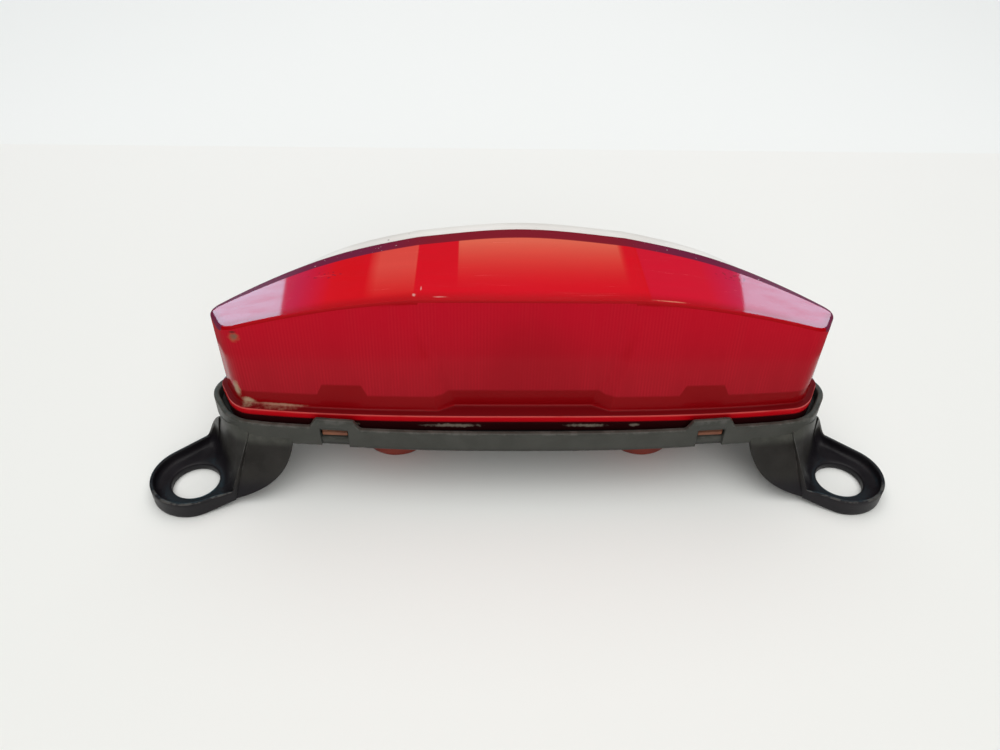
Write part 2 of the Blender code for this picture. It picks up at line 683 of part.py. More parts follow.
opening_half = pocket_half - OPENING_MARGIN
opening_foot = WINDOW_FOOT + OPENING_MARGIN
opening_head = float(top_height(opening_half)) - window_top_drop - OPENING_MARGIN
opening_front = spot(opening_half, 0.0, True)[0][1] - BACK_LEAN - LENS_WALL - 2 * PASS
opening_back = BACK_Y + PASS
cut(lens, box("window_opening",
              (2 * opening_half, opening_back - opening_front, opening_head - opening_foot),
              (0.0, (opening_front + opening_back) / 2, (opening_head + opening_foot) / 2)))


# Seal under the lens's skirt

lens_seal = plate("lens_seal", [outline(0.0, LEDGE_WIDTH + CLEAR), outline(0.0, skirt_in - CLEAR)],
                  TRAY_TOP + CLEAR, TRAY_TOP + CLEAR + SEAL_HEIGHT)
part(lens_seal, lamp, (0.03, 0.03, 0.03), 0.8)


# Reflector: bright sheet with a bowl round each bulb, screwed to the tray's posts

bulb_spots = [(-BULB_X, MID_Y), (BULB_X, MID_Y)]
reflector_holes = [circle(BOWL_RADIUS - REFLECTOR_SHEET / 2, at, 24) for at in bulb_spots]
reflector_holes += [circle(SCREW_RADIUS + CLEAR, at, 12) for at in POSTS]
reflector = plate("reflector", [reflector_edge, *reflector_holes],
                  REFLECTOR_FLOOR, REFLECTOR_FLOOR + REFLECTOR_SHEET)
part(reflector, lamp, (0.85, 0.85, 0.86), 0.12, 1.0)
for i, at in enumerate(bulb_spots):
    rise = REFLECTOR_FLOOR + BOWL_RIM * REFLECTOR_SHEET - BOWL_FOOT
    flare = BOWL_RADIUS - REFLECTOR_SHEET - THROAT_RADIUS
    shares = np.linspace(0.0, 1.0, 5)
    face = [(THROAT_RADIUS + flare * math.sqrt(s), BOWL_FOOT + rise * s) for s in shares]
    back = [(r + REFLECTOR_SHEET, z) for r, z in face[::-1]]
    bowl = hoop(f"bowl_{i}", [*back, *face], 24)
    bowl.location = (*at, 0.0)
    join(reflector, bowl)

for i, at in enumerate(POSTS):
    head_foot = REFLECTOR_FLOOR + REFLECTOR_SHEET + CLEAR
    crown = [(SCREW_HEAD_RADIUS * math.sin(a), head_foot + SCREW_HEAD * (0.4 + 0.6 * math.cos(a)))
             for a in np.radians((0.0, 50.0, 90.0))]
    profile = [*crown, (SCREW_HEAD_RADIUS, head_foot), (SCREW_RADIUS, head_foot),
               (SCREW_RADIUS, head_foot - SCREW_LENGTH + SCREW_POINT), (0.0, head_foot - SCREW_LENGTH)]
    screw = turned(f"reflector_screw_{i + 1}", profile, 14)
    screw.location = (*at, 0.0)
    part(screw, lamp, (0.6, 0.6, 0.58), 0.35, 1.0)
    slot = (SCREW_HEAD_RADIUS * 1.3, SCREW_SLOT, SCREW_HEAD)
    for turn in (0.0, math.pi / 2):
        bit = box(f"screw_slot_{i}_{turn:.0f}", slot, (0.0, 0.0, head_foot + SCREW_HEAD), turn)
        bit.location = (*at, 0.0)
        cut(screw, bit)


# Bulb holders and bulbs, one set on each side

def holder_pieces(side, axis):
    """Twist-in holder with its seal and three terminals; the axis empty is its turning axis."""
    pocket = BARREL_RADIUS - HOLDER_WALL
    holder = turned(f"holder_{side}", [
        (0.0, PARTITION_TOP), (BORE_RADIUS, PARTITION_TOP), (BORE_RADIUS, HOLDER_MOUTH),
        (BARREL_RADIUS, HOLDER_MOUTH), (BARREL_RADIUS, FLANGE_TOP), (FLANGE_RADIUS, FLANGE_TOP),
        (FLANGE_RADIUS, FLANGE_TOP - FLANGE_THICK), (BARREL_RADIUS, FLANGE_TOP - FLANGE_THICK),
        (BARREL_RADIUS, 0.0), (pocket, 0.0), (pocket, PARTITION_UNDER), (0.0, PARTITION_UNDER)], 26)
    part(holder, axis, (0.05, 0.05, 0.052), 0.55)
    for i in range(3):
        lug_foot = TRAY_TOP + CLEAR
        length = LUG_REACH + ROOT
        join(holder, box(f"lug_{side}_{i}", (length, LUG_WIDTH, LUG_HEIGHT),
                         (BARREL_RADIUS + LUG_REACH - length / 2, 0.0, lug_foot + LUG_HEIGHT / 2),
                         i * 2 * math.pi / 3))
    # Each bayonet pin has an entry groove, a passage at the bottom, and a pocket that it springs up into
    groove = PIN_RADIUS * 2 + 4 * CLEAR
    depth = PIN_REACH + 2 * CLEAR
    for i, height in enumerate(PIN_HEIGHTS):
        pin = CAP_FOOT + height
        low = pin - PRESS_TRAVEL - groove / 2
        passage_top = pin - PRESS_TRAVEL + groove / 2
        start = BORE_RADIUS - PASS
        width = 2 * (BORE_RADIUS + depth) * math.sin(BAYONET_TURN / 2) + groove
        reach = start + (PASS + depth) / 2
        grooves = (("pocket", groove, pin + groove / 2, 0.0),
                   ("passage", width, passage_top, BAYONET_TURN / 2),
                   ("entry", groove, HOLDER_MOUTH + PASS, BAYONET_TURN))
        for kind, across_groove, high, turn in grooves:
            cut(holder, box(f"{kind}_{side}_{i}", (PASS + depth, across_groove, high - low),
                            (reach, 0.0, (low + high) / 2), turn + i * math.pi))
    slot = (BLADE + 2 * CLEAR, LIVE_BLADE_WIDTH + 2 * CLEAR, PARTITION + PASS)
    live_x = CONTACT_SPACING / 2
    for i, x in enumerate((-live_x, live_x)):
        cut(holder, box(f"live_slot_{side}_{i}", slot, (x, 0.0, (PARTITION_UNDER + PARTITION_TOP) / 2)))
    earth_y = -(CAP_RADIUS + EARTH_BLADE_GAP + BLADE / 2)
    earth_top = EARTH_BLADE_TOP + CLEAR
    earth_low = PARTITION_UNDER - PASS / 2
    earth_in = -earth_y - BLADE
    earth_out = -earth_y + BLADE / 2 + CLEAR
    earth_size = (EARTH_BLADE_WIDTH + 2 * CLEAR, earth_out - earth_in, earth_top - earth_low)
    cut(holder, box(f"earth_slot_{side}", earth_size,
                    (0.0, -(earth_in + earth_out) / 2, (earth_low + earth_top) / 2)))

    seal_foot = FLANGE_TOP + CLEAR
    seal_head = seal_foot + HOLDER_SEAL_HEIGHT
    seal_out = FLANGE_RADIUS - HOLDER_SEAL_INSET
    seal = hoop(f"holder_seal_{side}", [
        (SOCKET_RADIUS, seal_head), (seal_out, seal_head), (seal_out, seal_foot),
        (SOCKET_RADIUS, seal_foot)], 26)
    part(seal, axis, (0.45, 0.12, 0.06), 0.75)

    live_size = (BLADE, LIVE_BLADE_WIDTH, PARTITION_TOP + CLEAR - BLADE_FOOT)
    live_mid = (PARTITION_TOP + CLEAR + BLADE_FOOT) / 2
    brass = (0.72, 0.53, 0.22)
    part(box(f"terminal_tail_{side}", live_size, (-live_x, 0.0, live_mid)), axis, brass, 0.3, 1.0)
    part(box(f"terminal_stop_{side}", live_size, (live_x, 0.0, live_mid)), axis, brass, 0.3, 1.0)
    part(box(f"terminal_earth_{side}", (EARTH_BLADE_WIDTH, BLADE, EARTH_BLADE_TOP - BLADE_FOOT),
             (0.0, earth_y, (EARTH_BLADE_TOP + BLADE_FOOT) / 2)), axis, brass, 0.3, 1.0)


def spring_piece(side, axis):
    """Coil spring under the contact plate; prints the least gap between its turns."""
    points_per_turn = 9
    count = round(SPRING_TURNS * points_per_turn) + 1
    turns = np.linspace(0.0, SPRING_TURNS, count)
    low = PARTITION_TOP + CLEAR + SPRING_WIRE
    high = PLATE_UNDER - CLEAR - SPRING_WIRE
    heights = low + (high - low) * turns / SPRING_TURNS
    path = np.column_stack((SPRING_RADIUS * np.cos(turns * 2 * math.pi),
                            SPRING_RADIUS * np.sin(turns * 2 * math.pi), heights))
    apart = np.linalg.norm(path[points_per_turn:] - path[:-points_per_turn], axis=1) - 2 * SPRING_WIRE
    print(f"contact_spring_{side}: least gap between turns {apart.min() * 1000:.2f} mm")
    part(wire(f"contact_spring_{side}", path, SPRING_WIRE), axis, (0.7, 0.7, 0.68), 0.3, 1.0)


def bulb_pieces(side, axis):
    """Two-filament bulb with the contact plate that its foot presses on."""
    contact_x = CONTACT_SPACING / 2
    contact_plate = plate(f"contact_plate_{side}", [
        circle(BORE_RADIUS - 2 * CLEAR, (0.0, 0.0), 24),
        circle(RIVET_RADIUS + CLEAR, (-contact_x, 0.0), 10),
        circle(RIVET_RADIUS + CLEAR, (contact_x, 0.0), 10)], PLATE_UNDER, PLATE_TOP)
    part(contact_plate, axis, (0.42, 0.27, 0.12), 0.6)
    for use, x in (("tail", -contact_x), ("stop", contact_x)):
        head = PLATE_TOP + CLEAR
        rivet = turned(f"contact_rivet_{use}_{side}", [
            (0.0, head + RIVET_HEAD), (RIVET_HEAD_RADIUS, head + RIVET_HEAD), (RIVET_HEAD_RADIUS, head),
            (RIVET_RADIUS, head), (RIVET_RADIUS, PLATE_UNDER - RIVET_TAIL),
            (0.0, PLATE_UNDER - RIVET_TAIL)], 12)
        rivet.location = (x, 0.0, 0.0)
        part(rivet, axis, (0.75, 0.56, 0.25), 0.3, 1.0)
        dot = rod(f"solder_dot_{use}_{side}", DOT_FOOT_RADIUS, DOT_FOOT, DOT_FOOT + DOT_HEIGHT, (x, 0.0),
                  12, DOT_RADIUS)
        part(dot, axis, (0.62, 0.62, 0.63), 0.4, 1.0)

    cap_in = CAP_RADIUS - CAP_WALL
    insulator = rod(f"bulb_insulator_{side}", cap_in - CLEAR, INSULATOR_FOOT,
                    INSULATOR_FOOT + INSULATOR, sides=24)
    part(insulator, axis, (0.02, 0.02, 0.025), 0.3)
    cap = hoop(f"bulb_cap_{side}", [
        (cap_in, CAP_TOP), (CAP_RADIUS, CAP_TOP), (CAP_RADIUS, CAP_FOOT), (cap_in, CAP_FOOT)], 24)
    part(cap, axis, (0.72, 0.66, 0.52), 0.32, 1.0)
    for i, height in enumerate(PIN_HEIGHTS):
        length = PIN_REACH + CAP_WALL
        pin = rod(f"bulb_pin_{side}_{i}", PIN_RADIUS, cap_in, cap_in + length, sides=10)
        side_turn = Matrix.Rotation(i * math.pi, 4, "Z") @ Matrix.Rotation(math.pi / 2, 4, "Y")
        pin.data.transform(Matrix.Translation((0.0, 0.0, CAP_FOOT + height)) @ side_turn)
        join(cap, pin)

    neck = cap_in - CLEAR
    neck_foot = CAP_TOP - NECK_SEAT
    shoulder = CAP_TOP + NECK_RISE
    centre = BULB_TOP - GLASS_RADIUS
    angles = np.linspace(0.0, math.radians(105.0), 7)
    globe = [(GLASS_RADIUS * math.sin(a), centre + GLASS_RADIUS * math.cos(a)) for a in angles]
    shell_in = GLASS_RADIUS - GLASS_WALL
    hollow = [(shell_in * math.sin(a), centre + shell_in * math.cos(a)) for a in angles[::-1]]
    glass = turned(f"bulb_glass_{side}", [
        *globe, (neck, shoulder), (neck, neck_foot), (neck - GLASS_WALL, neck_foot),
        (neck - GLASS_WALL, shoulder), *hollow], 20)
    part(glass, axis, (0.95, 0.95, 0.95), 0.02)

    flare = neck - GLASS_WALL - CLEAR
    flare_foot = neck_foot + FLARE_LIFT
    stem_top = centre - STEM_DROP
    mount = turned(f"bulb_mount_{side}", [
        (0.0, stem_top), (STEM_HEAD_RADIUS, stem_top), (STEM_FOOT_RADIUS, stem_top - STEM_LENGTH),
        (flare, flare_foot + FLARE_EDGE), (flare, flare_foot), (0.0, flare_foot)], 14)
    part(mount, axis, (0.85, 0.87, 0.86), 0.1)
    filaments = (("tail", -LEAD_Y, centre - TAIL_LEAD_DROP), ("stop", LEAD_Y, centre + STOP_LEAD_RISE))
    for use, y, tip in filaments:
        for end, x in (("a", -LEAD_X), ("b", LEAD_X)):
            lead = rod(f"lead_{use}_{end}_{side}", LEAD_RADIUS, flare_foot + FLARE_EDGE / 2, tip, (x, y), 6)
            join(mount, lead)
        span = LEAD_X - LEAD_RADIUS - FILAMENT_RADIUS - CLEAR
        foot = tip - FILAMENT_ARCH / 2
        arch = [(span * s, y, foot + FILAMENT_ARCH * (1 - s * s)) for s in np.linspace(-1.0, 1.0, 9)]
        part(wire(f"filament_{use}_{side}", arch, FILAMENT_RADIUS), axis, (0.5, 0.5, 0.5), 0.4, 1.0)


for side, sign in (("left", -1.0), ("right", 1.0)):
    holder_axis = empty(f"holder_axis_{side}", (sign * BULB_X, MID_Y, 0.0), lamp)
    holder_pieces(side, holder_axis)
    spring_piece(side, holder_axis)
    bulb_pieces(side, empty(f"bulb_axis_{side}", (0.0, 0.0, 0.0), holder_axis))

bpy.context.view_layer.update()
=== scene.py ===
"""Looks of the tail light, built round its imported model: metres, lens up, ears towards the viewer."""
import math

import bmesh
import bpy
import numpy as np
from mathutils import Matrix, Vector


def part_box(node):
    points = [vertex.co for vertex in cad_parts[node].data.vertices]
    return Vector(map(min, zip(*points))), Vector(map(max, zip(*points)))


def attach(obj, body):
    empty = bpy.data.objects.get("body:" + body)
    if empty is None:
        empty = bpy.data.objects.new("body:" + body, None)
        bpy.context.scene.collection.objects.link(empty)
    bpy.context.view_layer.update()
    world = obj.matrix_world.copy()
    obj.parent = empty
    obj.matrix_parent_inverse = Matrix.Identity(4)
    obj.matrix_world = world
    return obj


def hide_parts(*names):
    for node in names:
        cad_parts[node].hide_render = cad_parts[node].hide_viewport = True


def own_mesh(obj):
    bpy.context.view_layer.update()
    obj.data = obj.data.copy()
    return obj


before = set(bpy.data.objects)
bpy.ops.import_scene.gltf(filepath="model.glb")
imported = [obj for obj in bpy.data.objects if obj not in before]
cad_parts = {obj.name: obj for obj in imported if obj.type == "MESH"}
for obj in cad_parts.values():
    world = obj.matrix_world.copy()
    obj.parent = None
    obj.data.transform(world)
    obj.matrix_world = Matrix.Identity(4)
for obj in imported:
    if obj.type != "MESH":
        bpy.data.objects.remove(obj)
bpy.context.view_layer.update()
scene = bpy.context.scene

# Tray of the housing, moulded in black plastic: a floor with a rim round it, a low dam inside the
# seal's channel, and four raised tabs with notches that the lens's hooks snap into.

TIP_X = 0.1085
FRONT_Y = -0.02195
BACK_Y = 0.03465
FRONT_LEAN = 0.007
BACK_LEAN = 0.0016
CORNER_LEAN = 0.0016
CORNER_INSET = 0.008
CORNER_SET = 0.0048
TIP_SET = 0.0178
CORNER_ROUND = 0.005
TIP_ROUND = 0.0045
TIP_CROWDING = 1.8
SHARP_ANGLE = math.radians(38.0)


def unit(vectors):
    """Vectors, or one, at length 1."""
    return vectors / np.linalg.norm(vectors, axis=-1, keepdims=True)


def held(values):
    """Values held between 0 and 1."""
    return np.clip(values, 0.0, 1.0)


def run_of(line):
    """Distance of each point from the first, along a line of points."""
    return np.concatenate(((0.0,), np.cumsum(np.linalg.norm(np.diff(line, axis=0), axis=1))))


def full_turn(steps):
    """Angles all the way round."""
    return np.linspace(0.0, 2 * math.pi, steps, endpoint=False)


def bend(start, corner, end, steps=24):
    """Quadratic curve from start to end that leaves and arrives along the lines to the corner."""
    t = np.linspace(0.0, 1.0, steps)[:, None]
    return (1 - t) ** 2 * start + 2 * t * (1 - t) * corner + t ** 2 * end


def outline(level, grow, shares):
    """Ring round the lens wall in plan: front middle, right tip, back middle, left tip.

    The front is a cubic bow, the end is straight between two quadratic rounds, and the back is a
    circular arc. Level 0 is the wall's foot and level 1 its head. Shares of the half width give the
    stations, the same in front and behind, and grow moves each point out square to the ring.
    """
    middle = FRONT_Y + FRONT_LEAN * level
    corner = np.array((TIP_X - CORNER_INSET, FRONT_Y + CORNER_SET - CORNER_LEAN * level))
    tip = np.array((TIP_X, FRONT_Y + TIP_SET))
    back = BACK_Y - BACK_LEAN * level
    bow_x = np.linspace(0.0, corner[0] - CORNER_ROUND, 200)
    bow = np.column_stack((bow_x, middle + (corner[1] - middle) * (bow_x / corner[0]) ** 3))
    along = unit(tip - corner)
    radius = (tip[0] ** 2 + (back - tip[1]) ** 2) / (2 * (back - tip[1]))
    angles = np.linspace(math.asin(tip[0] / radius) - TIP_ROUND / radius, 0.0, 200)
    arc = np.column_stack((radius * np.sin(angles), back - radius + radius * np.cos(angles)))
    run = np.vstack((bow, bend(bow[-1], corner, corner + along * CORNER_ROUND),
                     bend(tip - along * TIP_ROUND, tip, arc[0]), arc))
    widest = int(np.argmax(run[:, 0]))
    x = shares * run[widest, 0]
    front = np.column_stack((x, np.interp(x, run[:widest + 1, 0], run[:widest + 1, 1])))
    rear = np.column_stack((x, np.interp(x, run[widest:, 0][::-1], run[widest:, 1][::-1])))
    half = np.vstack((front, rear[-2::-1]))
    ring = np.vstack((half, half[-2:0:-1] * (-1.0, 1.0)))
    along = unit(np.roll(ring, -1, axis=0) - np.roll(ring, 1, axis=0))
    outward = np.column_stack((along[:, 1], -along[:, 0]))
    return ring + outward * np.broadcast_to(grow, len(ring))[:, None]


def stations(even, even_count, end, end_count):
    """Shares of the half width: an even run from the middle, then closer and closer by a power to the tip."""
    crowded = 1 - end * (1 - np.linspace(0.0, 1.0, end_count)) ** TIP_CROWDING
    return np.unique(np.concatenate((np.linspace(0.0, even, even_count), crowded)))


def raised(ring, height):
    """Plan ring lifted to a height, one number or one for each point."""
    return np.column_stack((ring, np.broadcast_to(height, len(ring))))


def drawn_in(ring, shares):
    """Rings that draw a ring in on its mid line: each point goes to halfway between front and back."""
    count = len(ring)
    opposite = ring[(count // 2 - np.arange(count)) % count]
    middle = (ring + opposite) / 2
    return middle + (ring - middle) * np.asarray(shares)[:, None, None]


def rounded(corners, radius, steps=3, closed=False):
    """Row of corners with each one cut back by a radius and bridged by a quadratic curve."""
    before, after = np.roll(corners, 1, axis=-2), np.roll(corners, -1, axis=-2)
    radius = np.broadcast_to(radius, corners.shape[:-1])[..., None]
    start = corners + radius * unit(before - corners)
    end = corners + radius * unit(after - corners)
    t = np.linspace(0.0, 1.0, steps + 1)[:, None]
    curve = ((1 - t) ** 2 * start[..., None, :] + 2 * t * (1 - t) * corners[..., None, :]
             + t ** 2 * end[..., None, :])
    points = curve.reshape(*corners.shape[:-2], -1, corners.shape[-1])
    if closed:
        return points
    inner = points[..., steps + 1:-steps - 1, :]
    return np.concatenate((corners[..., :1, :], inner, corners[..., -1:, :]), axis=-2)


def denser(profile, step):
    """Profile with points added so that no straight run is longer than a step."""
    knots = run_of(profile)
    places = np.unique(np.round(np.concatenate((knots, np.arange(0.0, knots[-1], step))), 7))
    return np.column_stack([np.interp(places, knots, column) for column in profile.T])


def near_edges(profile, edges, reach):
    """Mark from 0 to 1 that falls off with the square of the distance to the nearest edge."""
    apart = np.linalg.norm(profile[:, None, :] - np.asarray(edges)[None, :, :], axis=2).min(axis=1)
    return np.exp(-(apart / reach) ** 2)


def skin(name, *grids, **marks):
    """Closed surface through grids of points (rows, columns, 3); a mark has values for each grid.

    Row i joins row i + 1, and the columns close into a ring. Points that meet are merged, which closes
    the poles, the mid lines and the loops.
    """
    faces, start = [], 0
    for grid in grids:
        index = start + np.arange(grid[..., 0].size).reshape(grid.shape[:2])
        here, there = index[:-1], index[1:]
        faces.append(np.stack((here, np.roll(here, -1, 1), np.roll(there, -1, 1), there), 2).reshape(-1, 4))
        start += index.size
    mesh = bpy.data.meshes.new(name)
    points = np.vstack([grid.reshape(-1, 3) for grid in grids])
    mesh.from_pydata(points.tolist(), [], np.vstack(faces).tolist())
    for mark, values in marks.items():
        values = [np.broadcast_to(value, grid.shape[:2]).ravel() for value, grid in zip(values, grids)]
        mesh.attributes.new(mark, "FLOAT", "POINT").data.foreach_set("value", np.concatenate(values))
    work = bmesh.new()
    work.from_mesh(mesh)
    bmesh.ops.remove_doubles(work, verts=work.verts, dist=1e-6)
    bmesh.ops.dissolve_degenerate(work, edges=work.edges, dist=1e-7)
    bmesh.ops.recalc_face_normals(work, faces=work.faces)
    work.to_mesh(mesh)
    work.free()
    mesh.shade_smooth()
    mesh.set_sharp_from_angle(angle=SHARP_ANGLE)
    piece = bpy.data.objects.new(name, mesh)
    scene.collection.objects.link(piece)
    return piece


def capped(grid):
    """Grid of rings with one more row at each end, all in the middle of that end's ring."""
    first, last = (np.broadcast_to(end.mean(1, keepdims=True), end.shape) for end in (grid[:1], grid[-1:]))
    return np.concatenate((first, grid, last))


def carved(piece, cutter):
    """Takes the cutter's solid out of a piece and leaves a plain mesh."""
    modifier = piece.modifiers.new("cut", "BOOLEAN")
    modifier.operation = "DIFFERENCE"
    modifier.solver = "EXACT"
    modifier.object = cutter
    seen = piece.evaluated_get(bpy.context.evaluated_depsgraph_get())
    mesh = bpy.data.meshes.new_from_object(seen)
    piece.modifiers.clear()
    piece.data = mesh
    bpy.data.objects.remove(cutter, do_unlink=True)
    return piece


def turned(profile, at, steps=64):
    """Profile of (radius, height) points turned about an upright axis; radius may differ by angle."""
    radius, height = profile
    angles = full_turn(steps)
    radius = np.broadcast_to(np.asarray(radius).reshape(len(height), -1), (len(height), steps))
    return np.stack((at[0] + radius * np.cos(angles), at[1] + radius * np.sin(angles),
                     np.broadcast_to(np.asarray(height)[:, None], radius.shape)), axis=2)


TRAY_UNDER = 0.0226
TRAY_TOP = 0.0251
RIM_IN = 0.0044
RIM_OUT = 0.0064
RIM_TOP = 0.030
RIM_UNDER = 0.0216
RIM_HEM = 0.0022
RIM_BOW = 0.001
RIM_DIP = 0.00055
RIM_BOW_HALF = 0.072
RIM_END_IN = 0.0006
RIM_END_X = 0.090
RIM_END_RUN = 0.012
DAM_OUT = 0.0001
DAM_IN = -0.0017
DAM_TOP = 0.0291
FLOOR_EDGE = -0.004
HOOK_X = 0.066
TAB_HALF = 0.0067
TAB_RAMP = 0.0022
TAB_RISE = 0.0038
TAB_BLEND = 0.002
TRAY_STEP = 0.0011
WEAR_REACH = 0.0007
NOTCH_HALF = 0.005
NOTCH_IN = 0.0034
NOTCH_TOP = 0.0296
NOTCH_SILL = 0.0247
NOTCH_FACE = 0.0050
NOTCH_EASE = 0.0003
NOTCH_LAP = 0.001
CUT_OVER = 0.002
BULB_X, BULB_Y = np.mean(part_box("holder_right"), axis=0)[:2]
SOCKET_RADIUS = 0.0133
SOCKET_LUG_RADIUS = 0.0171
SOCKET_LUG_HALF = math.radians(17.0)
SOCKET_STEPS = 180
UNLOCK_TURN = math.radians(40.0)

tab_edges = np.array((HOOK_X - TAB_HALF - TAB_RAMP, HOOK_X - TAB_HALF,
                      HOOK_X + TAB_HALF, HOOK_X + TAB_HALF + TAB_RAMP))
tray_shares = np.unique(np.concatenate((stations(0.87, 110, 0.12, 40), tab_edges / TIP_X)))
tray_profile = denser(rounded(np.array((
    (FLOOR_EDGE, TRAY_UNDER), (RIM_OUT - RIM_HEM, TRAY_UNDER), (RIM_OUT - RIM_HEM, RIM_UNDER),
    (RIM_OUT, RIM_UNDER), (RIM_OUT, RIM_TOP), (RIM_IN, RIM_TOP), (RIM_IN, TRAY_TOP), (DAM_OUT, TRAY_TOP),
    (DAM_OUT, DAM_TOP), (DAM_IN, DAM_TOP), (DAM_IN, TRAY_TOP), (FLOOR_EDGE, TRAY_TOP))),
    (0.0, 0.0004, 0.0004, 0.0008, 0.0007, 0.0005, 0.0005, 0.0005, 0.0004, 0.0004, 0.0005, 0.0)), TRAY_STEP)
worn_edges = ((RIM_OUT, RIM_UNDER), (RIM_OUT, RIM_TOP), (RIM_IN, RIM_TOP))
tray_wear = near_edges(tray_profile, worn_edges, WEAR_REACH)
wall_ring = outline(0.0, 0.0, tray_shares)
end_share = held((np.abs(wall_ring[:, 0]) - RIM_END_X) / RIM_END_RUN)
bow_share = held(1 - (wall_ring[:, 0] / RIM_BOW_HALF) ** 2) * (wall_ring[:, 1] < 0.0)
on_rim = held((tray_profile[:, 0] - DAM_OUT) / (RIM_IN - DAM_OUT))
tray_rings = np.stack([raised(outline(0.0, grow - RIM_END_IN * end_share * rim, tray_shares), z)
                       for (grow, z), rim in zip(tray_profile, on_rim)])
tray_rings[:, :, 1] -= RIM_BOW * bow_share * on_rim[:, None]
tray_rings[:, :, 2] -= RIM_DIP * bow_share * on_rim[:, None]
tab_share = np.interp(np.abs(tray_rings[:, :, 0]), tab_edges, (0.0, 1.0, 1.0, 0.0))
lift = held((tray_profile[:, 1] - RIM_TOP + TAB_BLEND) / TAB_BLEND)
lift *= tray_profile[:, 0] > (DAM_OUT + RIM_IN) / 2
tray_rings[:, :, 2] += TAB_RISE * tab_share * lift[:, None]
tray_points = np.concatenate((drawn_in(tray_rings[0], (0.0, 0.35, 0.7, 0.9)), tray_rings,
                              drawn_in(tray_rings[-1], (0.9, 0.7, 0.35, 0.0))))
tray_marks = np.concatenate((np.zeros(4), tray_wear, np.zeros(4)))[:, None]
tray = skin("housing_tray", tray_points, wear=[tray_marks])


def wall_spot(x, behind):
    """Point of the wall's foot at x, with the unit directions along the wall and out of it."""
    half = wall_ring[:len(wall_ring) // 2 + 1]
    widest = len(half) // 2
    run = half[widest:][::-1] if behind else half[:widest + 1]
    step = 0.001
    near, far = np.interp(abs(x) + np.array((-step, step)), run[:, 0], run[:, 1])
    along = unit(np.array((2 * step, (far - near) * math.copysign(1.0, x))))
    out = np.array((-along[1], along[0])) if behind else np.array((along[1], -along[0]))
    return np.array((x, (near + far) / 2)), along, out


def eased_block(centre, along, out, half, inner, outer, low, high, ease):
    """Upright block with eased edges: half its width one way, between two reaches the other way."""
    def ring(inset, height):
        """Ring of the block at a height, drawn in by an inset."""
        sides = ((-half + inset, inner + inset), (half - inset, inner + inset),
                 (half - inset, outer - inset), (-half + inset, outer - inset))
        corners = np.array([centre + along * u + out * v for u, v in sides])
        return raised(rounded(corners, ease - inset / 2, closed=True), height)

    step = ease * 0.3
    return capped(np.stack((ring(ease, low), ring(step, low + step), ring(0.0, low + ease),
                            ring(0.0, high - ease), ring(step, high - step), ring(ease, high))))


def rim_block(x, behind, half, inner, outer, low, high, ease):
    """Block across the rim at x, between two distances out from the lens wall."""
    at, along, out = wall_spot(x, behind)
    return eased_block(at, along, out, half, inner, outer, low, high, ease)


hook_spots = [(x, behind) for behind in (False, True) for x in (-HOOK_X, HOOK_X)]
openings, slots = [], []
for x, behind in hook_spots:
    openings.append(rim_block(x, behind, NOTCH_HALF, NOTCH_IN, RIM_OUT + CUT_OVER, NOTCH_SILL, NOTCH_TOP,
                              NOTCH_EASE))
    slots.append(rim_block(x, behind, NOTCH_HALF, NOTCH_FACE, RIM_OUT + CUT_OVER, RIM_UNDER - CUT_OVER,
                           NOTCH_SILL + NOTCH_LAP, NOTCH_EASE))
socket_angles = full_turn(SOCKET_STEPS)
from_lug = np.abs((socket_angles - UNLOCK_TURN + math.pi / 3) % (2 * math.pi / 3) - math.pi / 3)
socket_radius = np.where(from_lug < SOCKET_LUG_HALF, SOCKET_LUG_RADIUS, SOCKET_RADIUS)
sides = [(side, np.array((sign * BULB_X, BULB_Y))) for side, sign in (("left", -1.0), ("right", 1.0))]
socket = (np.vstack((socket_radius, socket_radius)), (TRAY_UNDER - CUT_OVER, TRAY_TOP + CUT_OVER))
openings += [capped(turned(socket, axis, SOCKET_STEPS)) for side, axis in sides]
carved(tray, skin("openings", *openings))
carved(tray, skin("slots", *slots))

POST_RADIUS = 0.0036
POST_TOP = 0.0362
POST_BORE = 0.0018
POST_BORE_FOOT = 0.0275
POST_FILLET = 0.0008
POST_EASE = 0.0003
post_profile = np.array((
    (0.0, TRAY_TOP - POST_EASE), (POST_RADIUS + POST_FILLET, TRAY_TOP - POST_EASE),
    (POST_RADIUS, TRAY_TOP + 1.5 * POST_FILLET), (POST_RADIUS, POST_TOP - POST_EASE),
    (POST_RADIUS - POST_EASE, POST_TOP), (POST_BORE + POST_EASE, POST_TOP), (POST_BORE, POST_TOP - POST_EASE),
    (POST_BORE, POST_BORE_FOOT), (0.0, POST_BORE_FOOT))).T
post_spots = [np.mean(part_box(f"reflector_screw_{i}"), axis=0)[:2] for i in (1, 2, 3, 4)]
posts = skin("housing_posts", *[turned(post_profile, at, 40) for at in post_spots])

# Legs and ears of the housing, one moulding with the tray: each ear is a dished tongue with a hole
# for a rubber-mounted screw, and its floor sweeps up into the leg's hollow end, with a web in front.

